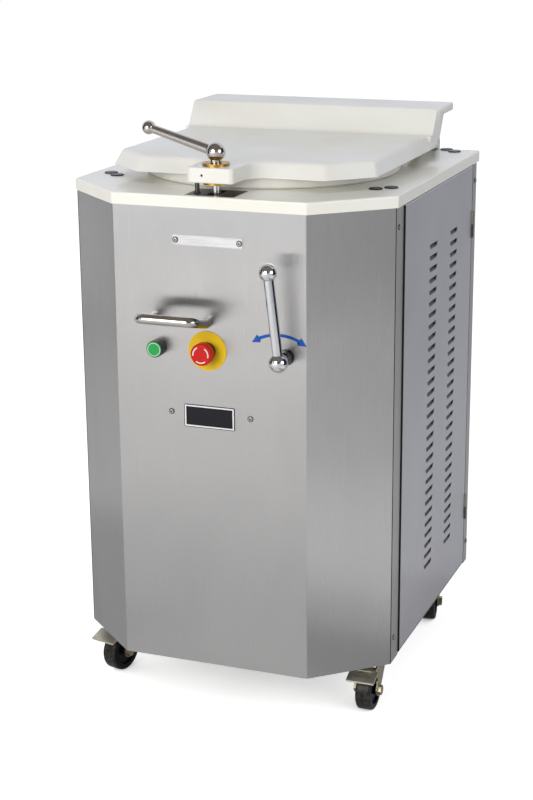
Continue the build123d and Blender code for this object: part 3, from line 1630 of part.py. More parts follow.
def castor_fork(foot, braked):
    """A stamped fork with its kingpin; foot has its first axis along the trail of the castor."""
    upright = foot * Plane((0, 0, 0), (1, 0, 0), (0, -1, 0))
    with BuildPart() as fork:
        with BuildSketch(foot.offset(crown_bottom)):
            Circle(castor_crown_half)
            with Locations((castor_crown_front / 2, 0)):
                Rectangle(castor_crown_front, 2 * leg_outer)
        extrude(amount=castor_crown_height)
        with BuildSketch(foot.offset(crown_top)):
            Circle(castor_kingpin / 2)
        extrude(amount=castor_race_height)
        for low in (leg_inner, -leg_outer):
            with BuildSketch(Plane(upright).offset(low)):
                Polygon(
                    (-castor_leg_boss, crown_top),
                    (castor_crown_front, crown_top),
                    (castor_trail + castor_leg_boss, axle_z),
                    (castor_trail - castor_leg_boss, axle_z),
                    (-castor_leg_boss, crown_bottom),
                    align=None,
                )
                with Locations((castor_trail, axle_z)):
                    Circle(castor_leg_boss)
                if braked:
                    Polygon(
                        (castor_crown_front / 2, crown_top),
                        (pedal_pivot[0], pedal_pivot[1] + pedal_ear),
                        (pedal_pivot[0], pedal_pivot[1] - pedal_ear),
                        (castor_trail, axle_z + castor_leg_boss),
                        align=None,
                    )
                    with Locations(pedal_pivot):
                        Circle(pedal_ear)
                        Circle(pedal_pin / 2 + running_fit, mode=Mode.SUBTRACT)
                with Locations((castor_trail, axle_z)):
                    Circle(axle_diameter / 2 + running_fit, mode=Mode.SUBTRACT)
            extrude(amount=castor_leg)
    return fork.part


def axle_bolt(foot):
    """The axle bolt with its head and nut outside the fork legs."""
    upright = Plane(foot * Plane((castor_trail, 0, axle_z), (1, 0, 0), (0, -1, 0)))
    with BuildPart() as bolt:
        with BuildSketch(upright.offset(-leg_outer - axle_head_height)):
            Circle(axle_diameter / 2)
        extrude(amount=2 * (leg_outer + axle_head_height))
        with BuildSketch(upright.offset(leg_outer)):
            RegularPolygon(axle_head / 2, 6, major_radius=False)
        extrude(amount=axle_head_height)
        with BuildSketch(upright.offset(-leg_outer)):
            RegularPolygon(axle_head / 2, 6, major_radius=False)
        extrude(amount=-axle_head_height)
    return bolt.part


def castor_wheel(foot):
    """A rubber-tyred wheel with recessed faces and a hub, its seam just beside the lowest point."""
    seam = Vector(0, 0, -1).rotate(Axis.Y, wheel_seam)
    upright = Plane(foot * Plane((castor_trail, 0, axle_z), seam, (0, -1, 0)))
    with BuildPart() as wheel:
        with BuildSketch(upright.offset(-wheel_width / 2)):
            Circle(wheel_diameter / 2)
        extrude(amount=wheel_width)
        fillet(wheel.edges(), radius=wheel_round)
        for way in (-1, 1):
            with BuildSketch(upright.offset(way * wheel_width / 2)):
                Circle(wheel_diameter / 2 - wheel_rim)
            extrude(amount=-way * wheel_recess, mode=Mode.SUBTRACT)
        with BuildSketch(upright.offset(-leg_inner + seat_gap)):
            Circle(axle_diameter)
        extrude(amount=2 * (leg_inner - seat_gap))
        with BuildSketch(upright.offset(-leg_inner)):
            Circle(axle_diameter / 2 + running_fit)
        extrude(amount=2 * leg_inner, mode=Mode.SUBTRACT)
    return wheel.part


def brake_pedal(foot):
    """A brake pedal turning on a pin between the fork ears, with a wide tread in front of them."""
    upright = Plane(foot * Plane((0, 0, 0), (1, 0, 0), (0, -1, 0)))
    pivot_u, pivot_z = pedal_pivot
    tread_start = pivot_u + pedal_ear + pedal_gap
    top = pivot_z + pedal_hub / 2
    with BuildPart() as pedal:
        with BuildSketch(upright.offset(-leg_outer)):
            with Locations(pedal_pivot):
                Circle(pedal_pin / 2)
        extrude(amount=2 * leg_outer)
        with BuildSketch(upright.offset(-pedal_tongue_half)):
            with Locations(pedal_pivot):
                Circle(pedal_hub / 2)
            Polygon(
                (pivot_u, top - pedal_thickness),
                (tread_start + pedal_thickness, top - pedal_thickness),
                (tread_start + pedal_thickness, top),
                (pivot_u, top),
                align=None,
            )
        extrude(amount=2 * pedal_tongue_half)
        with BuildSketch(upright.offset(-pedal_tread_half)):
            Polygon(
                (tread_start, top - pedal_thickness),
                (pedal_tread_front, top - pedal_thickness - pedal_tread_drop),
                (pedal_tread_front, top - pedal_tread_drop),
                (tread_start, top),
                align=None,
            )
        extrude(amount=2 * pedal_tread_half)
    return pedal.part


for corner, (foot_x, foot_y) in castor_places.items():
    heading = math.radians(castor_angles[corner])
    foot = Plane((foot_x, foot_y, 0), (math.cos(heading), math.sin(heading), 0), (0, 0, 1))
    braked = corner.startswith("front")
    fork = Compound(children=[castor_fork(foot, braked), axle_bolt(foot)])
    fork.label = "castor_fork_" + corner
    export_step(fork, "parts/castor_fork_" + corner + ".step")
    wheel = castor_wheel(foot)
    wheel.label = "castor_wheel_" + corner
    export_step(wheel, "parts/castor_wheel_" + corner + ".step")
    if braked:
        pedal = brake_pedal(foot)
        pedal.label = "brake_pedal_" + corner
        export_step(pedal, "parts/brake_pedal_" + corner + ".step")
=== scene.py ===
import math

import bmesh
import bpy
from mathutils import Matrix, Vector


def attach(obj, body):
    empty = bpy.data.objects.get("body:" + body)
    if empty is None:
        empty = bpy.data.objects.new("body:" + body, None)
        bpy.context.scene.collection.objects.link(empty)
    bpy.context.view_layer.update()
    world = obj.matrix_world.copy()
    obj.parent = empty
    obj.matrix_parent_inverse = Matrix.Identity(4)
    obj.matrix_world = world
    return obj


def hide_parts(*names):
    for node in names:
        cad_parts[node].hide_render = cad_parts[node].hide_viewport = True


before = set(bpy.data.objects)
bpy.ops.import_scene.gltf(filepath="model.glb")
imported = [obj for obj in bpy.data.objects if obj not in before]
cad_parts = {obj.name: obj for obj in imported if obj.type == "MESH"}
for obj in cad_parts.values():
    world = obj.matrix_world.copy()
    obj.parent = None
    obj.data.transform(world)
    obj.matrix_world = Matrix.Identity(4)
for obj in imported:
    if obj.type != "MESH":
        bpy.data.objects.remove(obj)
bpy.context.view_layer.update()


# The welded frame: square steel tubes on a base plate, stoved in matt grey paint. It stands behind
# the skins and shows through the louvres and the open door.
def new_finish(name, colour, roughness, metallic=0.0):
    """A material with its shader ready for the surface detail that the sections add."""
    material = bpy.data.materials.new(name)
    material.use_nodes = True
    material.diffuse_color = (*colour, 1)
    shader = material.node_tree.nodes["Principled BSDF"]
    shader.inputs["Base Color"].default_value = (*colour, 1)
    shader.inputs["Roughness"].default_value = roughness
    shader.inputs["Metallic"].default_value = metallic
    return material, material.node_tree.links, shader


def grain_noise(material, size, detail=3.0, distortion=0.0):
    """Noise in the piece's own space; size gives how many grains there are in a metre each way."""
    nodes = material.node_tree.nodes
    links = material.node_tree.links
    place = nodes.new("ShaderNodeTexCoord")
    stretch = nodes.new("ShaderNodeMapping")
    stretch.inputs["Scale"].default_value = size
    noise = nodes.new("ShaderNodeTexNoise")
    noise.inputs["Scale"].default_value = 1.0
    noise.inputs["Detail"].default_value = detail
    noise.inputs["Distortion"].default_value = distortion
    links.new(place.outputs["Object"], stretch.inputs["Vector"])
    links.new(stretch.outputs["Vector"], noise.inputs["Vector"])
    return noise.outputs["Fac"]


def shade_between(material, source, low, high, start=0.3, stop=0.7):
    """A colour ramp between two colours."""
    ramp = material.node_tree.nodes.new("ShaderNodeValToRGB")
    ramp.color_ramp.elements[0].position = start
    ramp.color_ramp.elements[0].color = (*low, 1)
    ramp.color_ramp.elements[1].position = stop
    ramp.color_ramp.elements[1].color = (*high, 1)
    material.node_tree.links.new(source, ramp.inputs["Fac"])
    return ramp.outputs["Color"]


def value_between(material, source, low, high, start=0.3, stop=0.7):
    """A number that runs from low to high as the source runs from start to stop."""
    span = material.node_tree.nodes.new("ShaderNodeMapRange")
    span.inputs["From Min"].default_value = start
    span.inputs["From Max"].default_value = stop
    span.inputs["To Min"].default_value = low
    span.inputs["To Max"].default_value = high
    material.node_tree.links.new(source, span.inputs["Value"])
    return span.outputs["Result"]


def raise_grain(material, shader, source, height):
    """Bump of a given height in metres."""
    bump = material.node_tree.nodes.new("ShaderNodeBump")
    bump.inputs["Strength"].default_value = 1.0
    bump.inputs["Distance"].default_value = height
    material.node_tree.links.new(source, bump.inputs["Height"])
    if shader.inputs["Normal"].is_linked:
        below = shader.inputs["Normal"].links[0].from_socket
        material.node_tree.links.new(below, bump.inputs["Normal"])
    material.node_tree.links.new(bump.outputs["Normal"], shader.inputs["Normal"])


def painted(name, colour, roughness, peel=0.00004, tone=0.88):
    """Sprayed paint: a little orange peel, and a tone that drifts over the surface."""
    material, links, shader = new_finish(name, colour, roughness)
    shader.inputs["Specular IOR Level"].default_value = 0.2
    drift = grain_noise(material, (7, 7, 7))
    second_tone = tuple(tone * c for c in colour)
    links.new(shade_between(material, drift, second_tone, colour), shader.inputs["Base Color"])
    gloss = value_between(material, drift, roughness * 1.2, roughness * 0.85)
    links.new(gloss, shader.inputs["Roughness"])
    raise_grain(material, shader, grain_noise(material, (420, 420, 420), 2), peel)
    return material


def dress(node, material):
    """Gives a node of the frame its finish."""
    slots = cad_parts[node].data.materials
    slots.clear()
    slots.append(material)


tube_paint = painted("tube_paint", (0.30, 0.31, 0.32), 0.55)
dress("frame", tube_paint)
dress("drive_deck", tube_paint)


# The rounding drive under the table: grey iron bearing housings, turned cranks and pulleys, a flat
# rubber belt and a painted motor, all bolted to the deck.
def cast_metal(name, colour, roughness, metallic=1.0, pits=0.00008):
    """Sand-cast or forged metal with a grainy skin."""
    material, links, shader = new_finish(name, colour, roughness, metallic)
    skin = grain_noise(material, (300, 300, 300), 4)
    pale = tuple(min(1, 1.25 * c) for c in colour)
    links.new(shade_between(material, skin, colour, pale), shader.inputs["Base Color"])
    links.new(value_between(material, skin, roughness * 0.8, roughness * 1.2), shader.inputs["Roughness"])
    raise_grain(material, shader, skin, pits)
    return material


def bare_metal(name, colour, roughness, grain=(600, 600, 600), scratch=0.00001):
    """Machined or drawn bare metal with its tool marks running one way."""
    material, links, shader = new_finish(name, colour, roughness, 1.0)
    marks = grain_noise(material, grain, 3)
    smear = grain_noise(material, (14, 14, 14), 3, 0.6)
    dull = tuple(0.84 * c for c in colour)
    links.new(shade_between(material, smear, dull, colour), shader.inputs["Base Color"])
    links.new(value_between(material, marks, roughness * 0.7, roughness * 1.3), shader.inputs["Roughness"])
    raise_grain(material, shader, marks, scratch)
    return material


drive_iron = cast_metal("drive_iron", (0.22, 0.22, 0.23), 0.5)
dress("bearing_housings", drive_iron)
dress("valve_block", drive_iron)
turned_steel = bare_metal("turned_steel", (0.56, 0.56, 0.55), 0.26, (90, 90, 1400))
for node in ("drive_eccentric", "idler_eccentric_right", "idler_eccentric_left", "motor_pulley"):
    dress(node, turned_steel)


def moulded_rubber(name, colour, roughness, dust, shine=0.25):
    """Black rubber with a dusty bloom."""
    material, links, shader = new_finish(name, colour, roughness)
    shader.inputs["Specular IOR Level"].default_value = shine
    bloom = grain_noise(material, (60, 60, 60), 5)
    links.new(shade_between(material, bloom, colour, dust, 0.45, 0.8), shader.inputs["Base Color"])
    gloss = value_between(material, bloom, roughness * 0.85, roughness * 1.15)
    links.new(gloss, shader.inputs["Roughness"])
    raise_grain(material, shader, grain_noise(material, (900, 900, 900), 2), 0.00004)
    return material


dress("drive_belt", moulded_rubber("belt_rubber", (0.03, 0.03, 0.03), 0.6, (0.08, 0.08, 0.08)))
motor_paint = painted("motor_paint", (0.10, 0.17, 0.26), 0.42)
dress("rounding_motor", motor_paint)


def loose_pieces(node):
    """The low and high corners of each separate piece in a node, in its own space."""
    shape = bmesh.new()
    shape.from_mesh(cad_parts[node].data)
    bmesh.ops.remove_doubles(shape, verts=shape.verts, dist=0.00001)
    waiting = set(shape.verts)
    corners = []
    while waiting:
        edge_of_piece = [waiting.pop()]
        points = []
        while edge_of_piece:
            vert = edge_of_piece.pop()
            points.append(vert.co.copy())
            for edge in vert.link_edges:
                other = edge.other_vert(vert)
                if other in waiting:
                    waiting.remove(other)
                    edge_of_piece.append(other)
        low = Vector(min(p[axis] for p in points) for axis in range(3))
        high = Vector(max(p[axis] for p in points) for axis in range(3))
        corners.append((low, high))
    shape.free()
    return sorted(corners, key=lambda pair: tuple(round(c, 4) for c in pair[0]))


def add_piece(name, shape, material, body):
    """Turns a bmesh into an object that rides a body of the frame."""
    mesh = bpy.data.meshes.new(name)
    bmesh.ops.recalc_face_normals(shape, faces=shape.faces)
    shape.to_mesh(mesh)
    shape.free()
    mesh.materials.append(material)
    piece = bpy.data.objects.new(name, mesh)
    bpy.context.scene.collection.objects.link(piece)
    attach(piece, body)
    return piece


def add_plate(shape, outline, depth):
    """Adds a flat plate to a bmesh: an outline of points, thickened by the vector depth."""
    near = [shape.verts.new(point) for point in outline]
    far = [shape.verts.new(Vector(point) + Vector(depth)) for point in outline]
    shape.faces.new(near)
    shape.faces.new(list(reversed(far)))
    for step in range(len(outline)):
        after = (step + 1) % len(outline)
        shape.faces.new((near[step], near[after], far[after], far[step]))


def add_fins(shape, middle, radius, low, high, count):
    """Adds the upright cooling ribs around a motor's barrel."""
    root_half, tip_half = 0.0013, 0.0008
    sunk, reach = 0.0005, 0.0045
    for step in range(count):
        angle = 2 * math.pi * (step + 0.5) / count
        out = Vector((math.cos(angle), math.sin(angle), 0))
        across = Vector((-out.y, out.x, 0))
        root = Vector((middle.x, middle.y, low)) + (radius - sunk) * out
        tip = root + reach * out
        outline = [root - root_half * across, root + root_half * across]
        outline += [tip + tip_half * across, tip - tip_half * across]
        add_plate(shape, outline, (0, 0, high - low))


motor_flange = 0.010
motor_fins_low, motor_fins_high = 0.014, 0.122
motor_low, motor_high = loose_pieces("rounding_motor")[0]
motor_middle = (motor_low + motor_high) / 2
motor_radius = (motor_high.x - motor_low.x) / 2 - motor_flange
motor_fins = bmesh.new()
add_fins(
    motor_fins, motor_middle, motor_radius, motor_low.z + motor_fins_low, motor_low.z + motor_fins_high, 32
)
add_piece("rounding_motor_fins", motor_fins, motor_paint, "cabinet")

# The rounding carriage: a steel ring with the chamber drum welded to it, and the press cylinder hung
# below on four rods. The drum's bore is polished where the dough lies.
drum_steel = bare_metal("drum_steel", (0.62, 0.62, 0.61), 0.22, (60, 60, 1200))
dress("rounding_carriage", drum_steel)
dress("press_cylinder", turned_steel)
dress("ram_rod", bare_metal("rod_chrome", (0.70, 0.70, 0.70), 0.14, (60, 60, 900)))
press_alloy = bare_metal("press_alloy", (0.68, 0.68, 0.67), 0.38, (260, 260, 260))
dress("press_plate", press_alloy)
dress("knife_carrier", press_alloy)
dress("knife_grid", bare_metal("knife_steel", (0.60, 0.60, 0.60), 0.2, (60, 60, 1400)))


# The hydraulic set on the base: a moulded oil tank, the pump and its motor on top, and the grey
# switchgear box and cable gland on the rear panel.
def moulded_plastic(name, colour, roughness, texture=0.00003, tone=0.9):
    """Injection-moulded plastic with a fine spark-eroded skin."""
    material, links, shader = new_finish(name, colour, roughness)
    shader.inputs["Specular IOR Level"].default_value = 0.2
    drift = grain_noise(material, (35, 35, 35), 3)
    dull = tuple(tone * c for c in colour)
    links.new(shade_between(material, drift, dull, colour), shader.inputs["Base Color"])
    gloss = value_between(material, drift, roughness * 1.15, roughness * 0.9)
    links.new(gloss, shader.inputs["Roughness"])
    raise_grain(material, shader, grain_noise(material, (1500, 1500, 1500), 2), texture)
    return material


dress("oil_tank", moulded_plastic("tank_skin", (0.20, 0.21, 0.22), 0.5, 0.00006))
dress("pump_unit", motor_paint)
dress("control_box", moulded_plastic("box_skin", (0.55, 0.56, 0.55), 0.45))
gland_skin = moulded_plastic("gland_skin", (0.03, 0.03, 0.03), 0.4)
dress("cable_gland", gland_skin)

pump_foot, pump_cap = 0.062, 0.040
pump_low, pump_high = loose_pieces("pump_unit")[0]
pump_middle = (pump_low + pump_high) / 2
pump_radius = (pump_high.x - pump_low.x) / 2
pump_fins = bmesh.new()
add_fins(pump_fins, pump_middle, pump_radius, pump_low.z + pump_foot, pump_high.z - pump_cap, 36)
add_piece("pump_motor_fins", pump_fins, motor_paint, "cabinet")


def blunt_corners(half_wide, half_high, corner):
    """A rectangle with its corners cut, as pairs of numbers about the middle."""
    wide, high = half_wide - corner, half_high - corner
    right = [(half_wide, high), (wide, half_high)]
    left = [(-wide, half_high), (-half_wide, high), (-half_wide, -high), (-wide, -half_high)]
    return right + left + [(wide, -half_high), (half_wide, -high)]


def round_outline(radius, steps):
    """A circle as pairs of numbers about the middle."""
    turns = [2 * math.pi * step / steps for step in range(steps)]
    return [(radius * math.cos(turn), radius * math.sin(turn)) for turn in turns]


terminal_sunk, terminal_up, terminal_corner = 0.004, 0.150, 0.006
terminal_deep, terminal_lid = 0.030, 0.004
terminal_screw, terminal_screw_high = 0.0035, 0.0025
terminal_screw_y, terminal_screw_z = 0.030, 0.036
terminal_at = Vector((pump_middle.x + pump_radius - terminal_sunk, pump_middle.y, pump_low.z + terminal_up))
terminal = bmesh.new()
for start, deep, half_wide, half_high in (
    (0.0, terminal_deep, 0.034, 0.040),
    (terminal_deep, terminal_lid, 0.037, 0.043),
):
    outline = blunt_corners(half_wide, half_high, terminal_corner)
    add_plate(terminal, [terminal_at + Vector((start, y, z)) for y, z in outline], (deep, 0, 0))
terminal_face = terminal_at + Vector((terminal_deep + terminal_lid, 0, 0))
for right, up in ((-1, -1), (1, -1), (1, 1), (-1, 1)):
    screw_at = terminal_face + Vector((0, right * terminal_screw_y, up * terminal_screw_z))
    outline = [screw_at + Vector((0, y, z)) for y, z in round_outline(terminal_screw, 6)]
    add_plate(terminal, outline, (terminal_screw_high, 0, 0))
add_piece("pump_terminal_box", terminal, motor_paint, "cabinet")


def add_ring(shape, centre, inner, outer, start, stop, steps, depth):
    """Adds a flat arc facing the front; angles in degrees from the right, going up."""
    closed = stop - start >= 360
    rows = []
    for step in range(steps if closed else steps + 1):
        angle = math.radians(start + (stop - start) * step / steps)
        out = Vector((math.cos(angle), 0, math.sin(angle)))
        points = [Vector(centre) + radius * out for radius in (inner, outer)]
        rows.append([shape.verts.new(p + Vector((0, y, 0))) for y in (0, -depth) for p in points])
    pairs = list(zip(rows, rows[1:] + rows[:1])) if closed else list(zip(rows, rows[1:]))
    for here, after in pairs:
        for one, two in ((0, 1), (1, 3), (3, 2), (2, 0)):
            shape.faces.new((here[one], here[two], after[two], after[one]))
    if not closed:
        for row in (rows[0], rows[-1]):
            shape.faces.new((row[0], row[1], row[3], row[2]))


gauge_in, gauge_up = 0.050, 0.110
gauge_bore, gauge_rim, gauge_lap = 0.011, 0.017, 0.0002
gauge_ring_high, gauge_glass_high = 0.005, 0.003
tank_low, tank_high = loose_pieces("oil_tank")[0]
gauge_at = Vector((tank_high.x, tank_low.y + gauge_in, tank_low.z + gauge_up))
gauge_place = Matrix.Translation(gauge_at) @ Matrix.Rotation(math.pi / 2, 4, "Z")
gauge_ring = bmesh.new()
add_ring(gauge_ring, (0, 0, 0), gauge_bore, gauge_rim, 0, 360, 32, gauge_ring_high)
gauge_ring.transform(gauge_place)
add_piece("tank_gauge_ring", gauge_ring, turned_steel, "cabinet")
gauge_glass = bmesh.new()
outline = [(x, 0, z) for x, z in round_outline(gauge_bore + gauge_lap, 32)]
add_plate(gauge_glass, outline, (0, -gauge_glass_high, 0))
gauge_glass.transform(gauge_place)
gauge_amber = moulded_plastic("gauge_amber", (0.36, 0.18, 0.02), 0.12)
add_piece("tank_gauge_glass", gauge_glass, gauge_amber, "cabinet")

box_low, box_high = loose_pieces("control_box")[0]
box_middle = (box_low + box_high) / 2
box_half = (box_high - box_low) / 2
cover_margin, cover_thick, cover_corner = 0.004, 0.005, 0.005
lock_in, lock_up = 0.020, 0.085
lock_radius, lock_high = 0.008, 0.003
lock_slot = blunt_corners(0.0055, 0.0012, 0.0004)
box_cover = bmesh.new()
outline = blunt_corners(box_half.x - cover_margin, box_half.z - cover_margin, cover_corner)
outline = [(box_middle.x + x, box_low.y, box_middle.z + z) for x, z in outline]
add_plate(box_cover, outline, (0, -cover_thick, 0))
cover_skin = moulded_plastic("cover_skin", (0.50, 0.51, 0.50), 0.4)
add_piece("control_box_cover", box_cover, cover_skin, "cabinet")
box_locks = bmesh.new()
for up in (-lock_up, lock_up):
    centre = Vector((box_low.x + lock_in, box_low.y - cover_thick, box_middle.z + up))
    outline = [centre + Vector((x, 0, z)) for x, z in round_outline(lock_radius, 24)]
    add_plate(box_locks, outline, (0, -lock_high, 0))
    slot = [centre + Vector((x, -lock_high, z)) for x, z in lock_slot]
    add_plate(box_locks, slot, (0, -lock_high / 2, 0))
add_piece("control_box_locks", box_locks, gland_skin, "cabinet")


# The skins: sheets of stainless steel brushed up and down, folded at the corners and screwed to the
# frame. The right-hand one is a door; the louvres of both sides are pressed inwards, open at the top.
def reckon(tree, operation, *values):
    """A Math node on sockets or plain numbers."""
    node = tree.nodes.new("ShaderNodeMath")
    node.operation = operation
    for entry, value in zip(node.inputs, values):
        if isinstance(value, bpy.types.NodeSocket):
            tree.links.new(value, entry)
        else:
            entry.default_value = value
    return node.outputs["Value"]


def brushed_sheet(name, colour, roughness):
    """Stainless sheet with an upright grain, faint stains and rubbed patches."""
    material, links, shader = new_finish(name, colour, roughness, 1.0)
    grain = grain_noise(material, (1500, 1500, 9), 4)
    streak = grain_noise(material, (45, 45, 0.8), 4)
    stain = grain_noise(material, (4, 4, 3), 4, 0.8)
    dull = tuple(0.93 * c for c in colour)
    links.new(shade_between(material, stain, dull, colour, 0.25, 0.6), shader.inputs["Base Color"])
    fine = value_between(material, grain, -0.02, 0.02)
    broad = value_between(material, streak, roughness - 0.006, roughness + 0.008)
    links.new(reckon(material.node_tree, "ADD", fine, broad), shader.inputs["Roughness"])
    shader.inputs["Anisotropic"].default_value = 0.9
    around = material.node_tree.nodes.new("ShaderNodeTangent")
    around.direction_type = "RADIAL"
    around.axis = "Z"
    links.new(around.outputs["Tangent"], shader.inputs["Tangent"])
    raise_grain(material, shader, grain, 0.000003)
    raise_grain(material, shader, grain_noise(material, (5, 5, 7), 1, 0.4), 0.00022)
    return material


def own_place(material):
    """A piece's own x, y and z, as the outputs of one node."""
    nodes = material.node_tree.nodes
    place = nodes.new("ShaderNodeTexCoord")
    split = nodes.new("ShaderNodeSeparateXYZ")
    material.node_tree.links.new(place.outputs["Object"], split.inputs["Vector"])
    return split.outputs


def dust_and_shade_over(material, amount):
    """A Mix node that lays a second colour, its input B, over the base colour by an amount."""
    links = material.node_tree.links
    base = material.node_tree.nodes["Principled BSDF"].inputs["Base Color"]
    second_tone = material.node_tree.nodes.new("ShaderNodeMix")
    second_tone.data_type = "RGBA"
    links.new(amount, second_tone.inputs["Factor"])
    links.new(base.links[0].from_socket, second_tone.inputs["A"])
    links.new(second_tone.outputs["Result"], base)
    return second_tone


def shade_pressings(material, face):
    """Paints shade on the sheet where it lies behind its outer face, in the pressed louvres: a near-black
    laid over the steel.
    """
    skin, depth = 0.0003, 0.0020
    out = reckon(material.node_tree, "ABSOLUTE", own_place(material)["X"])
    sunk = value_between(material, out, 1.0, 0.0, face - depth, face - skin)
    dust_and_shade_over(material, sunk).inputs["B"].default_value = (0.05, 0.05, 0.055, 1)


sheet_steel = brushed_sheet("sheet_steel", (0.50, 0.495, 0.495), 0.29)
dress("front_panel", sheet_steel)
dress("rear_panel", sheet_steel)
# The sides are the same stainless sheet as the front, given a lighter and bluer colour as painted light.
lit_side_steel = brushed_sheet("lit_side_steel", (0.62, 0.62, 0.66), 0.29)
door_low, door_high = loose_pieces("door_panel")[0]
# The louvre pockets of the sides get a painted near-black shade.
shade_pressings(lit_side_steel, door_high.x)
dress("left_panel", lit_side_steel)
dress("door_panel", lit_side_steel)
# The hinge leaves are a near-black steel: a painted dark reflection, as the leaves mirror dark
# surroundings.
hinge_steel = bare_metal("hinge_steel", (0.10, 0.10, 0.10), 0.34, (200, 200, 900))
dress("door_hinge_leaves", hinge_steel)
dress("door_hinge_knuckles", bare_metal("knuckle_zinc", (0.36, 0.33, 0.27), 0.3, (200, 200, 900)))
dress("panel_screws", bare_metal("screw_steel", (0.38, 0.38, 0.38), 0.2))


# The door's seal: a strip of black rubber stuck along the edge of the front skin, with a rounded lip that
# stands a little proud of the door. Its black lip also paints the shade of the gap between door and skin.
seal_proud = 0.0006
seal_thick = 0.0040
seal_gap = 0.0003
lip_steps = 8
panel_low, panel_high = loose_pieces("front_panel")[0]
seal_front = panel_high.y + seal_gap
seal_rear = door_low.y - seal_gap
seal_face = door_high.x + seal_proud
seal_outline = []
for step in range(lip_steps + 1):
    angle = math.pi * step / lip_steps
    bulge = seal_thick / 2 * math.sin(angle)
    across = seal_front + (seal_rear - seal_front) * (1 - math.cos(angle)) / 2
    seal_outline.append((seal_face + bulge, across, door_low.z))
seal_outline.append((seal_face - seal_thick, seal_rear, door_low.z))
seal_outline.append((seal_face - seal_thick, seal_front, door_low.z))
seal = bmesh.new()
add_plate(seal, seal_outline, (0, 0, door_high.z - door_low.z))
seal_and_shade_black = moulded_rubber("seal_and_shade_black", (0.010, 0.010, 0.011), 0.7, (0.02, 0.02, 0.02))
add_piece("door_seal_and_gap_shade", seal, seal_and_shade_black, "cabinet")

# The fold lines of the front skin: thin dark rods drawn along its two outer corners, where the sheet turns
# back to the sides, as painted shade of the gap at each fold.
fold_half = 0.0008
shade_line_steps = 12
fold_slope = math.radians(-22)
fold_out = Vector((math.cos(fold_slope), math.sin(fold_slope), 0))
panel_points = [vert.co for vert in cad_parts["front_panel"].data.vertices]
fold_at = max(panel_points, key=lambda point: round(fold_out.dot(point), 5))
fold = bmesh.new()
for side in (-1, 1):
    shade_line = []
    for step in range(shade_line_steps):
        angle = 2 * math.pi * step / shade_line_steps
        across = fold_at.x + fold_half * math.cos(angle)
        shade_line.append((side * across, fold_at.y + fold_half * math.sin(angle), panel_low.z + fold_half))
    add_plate(fold, shade_line, (0, 0, panel_high.z - panel_low.z - 2 * fold_half))
add_piece("fold_gap_shade", fold, seal_and_shade_black, "cabinet")

# The washers under the panel screws and the crosses in their heads: thin dark rings, and flat near-black
# crosses that paint the shade of the recesses struck when the heads are forged. The screws stop at five
# angles in turn.
recess_arm = 0.0024
recess_half = 0.00055
recess_skin = 0.00006
recess_turn = math.radians(17)
recess_cross = []
for right, up in ((1, 1), (1, -1), (-1, -1), (-1, 1)):
    arm = [(recess_half, recess_arm), (recess_half, recess_half), (recess_arm, recess_half)]
    corner = [(right * x, up * y) for x, y in arm]
    recess_cross += corner if right == up else list(reversed(corner))
screw_radius = 0.0045
screw_height = 0.0026
washer_lap = 0.0001
washer_wide = 0.0011
washer_thick = 0.0006
side_margin = 0.02
recess_shades = bmesh.new()
washers = bmesh.new()
for count, (low, high) in enumerate(loose_pieces("panel_screws")):
    middle = (low + high) / 2
    along = 0 if abs(middle.x) > door_high.x - side_margin else 1
    outward = 1 if middle[along] > 0 else -1
    slant = recess_turn * (count % 5)
    outline = []
    for across, up in recess_cross:
        point = Vector(middle)
        point[1 - along] += across * math.cos(slant) - up * math.sin(slant)
        point.z += across * math.sin(slant) + up * math.cos(slant)
        point[along] = high[along] if outward > 0 else low[along]
        outline.append(point)
    depth = Vector((0, 0, 0))
    depth[along] = outward * recess_skin
    add_plate(recess_shades, outline, depth)
    washer = bmesh.new()
    bore, rim = screw_radius - washer_lap, screw_radius + washer_wide
    add_ring(washer, (0, 0, 0), bore, rim, 0, 360, 24, washer_thick)
    quarter_turns = outward if along == 0 else outward + 1
    washer.transform(Matrix.Rotation(quarter_turns * math.pi / 2, 4, "Z"))
    seat = Vector(middle)
    seat[along] = high[along] - screw_height if outward > 0 else low[along] + screw_height
    washer.transform(Matrix.Translation(seat))
    washer_mesh = bpy.data.meshes.new("washer")
    washer.to_mesh(washer_mesh)
    washer.free()
    washers.from_mesh(washer_mesh)
    bpy.data.meshes.remove(washer_mesh)
add_piece("screw_washers", washers, hinge_steel, "cabinet")
# The crosses are painted shade, a near-black laid on each head.
add_piece("screw_recess_shade", recess_shades, painted("recess_shade", (0.02, 0.02, 0.02), 0.6), "cabinet")

# The blank plates on the front: a bright strip near the top and a dark badge plate with a white
# border, both thin sheet stuck and screwed to the panel.
dress("strip_blank", bare_metal("strip_steel", (0.50, 0.50, 0.51), 0.34, (8, 700, 700)))
dress("badge_blank", painted("plate_black", (0.007, 0.006, 0.011), 0.45))
print_white = painted("print_white", (0.82, 0.82, 0.80), 0.4)
print_skin = 0.00012
border_inset = 0.0012
border_width = 0.0026
badge_low, badge_high = loose_pieces("badge_blank")[0]
border = bmesh.new()
border_left, border_right = badge_low.x + border_inset, badge_high.x - border_inset
border_low, border_high = badge_low.z + border_inset, badge_high.z - border_inset
inner_left, inner_right = border_left + border_width, border_right - border_width
inner_low, inner_high = border_low + border_width, border_high - border_width
for left, right, low, high in (
    (border_left, border_right, border_low, inner_low),
    (border_left, border_right, inner_high, border_high),
    (border_left, inner_left, inner_low, inner_high),
    (inner_right, border_right, inner_low, inner_high),
):
    corners = ((left, low), (right, low), (right, high), (left, high))
    add_plate(border, [(x, badge_low.y, z) for x, z in corners], (0, -print_skin, 0))
add_piece("badge_border", border, print_white, "cabinet")

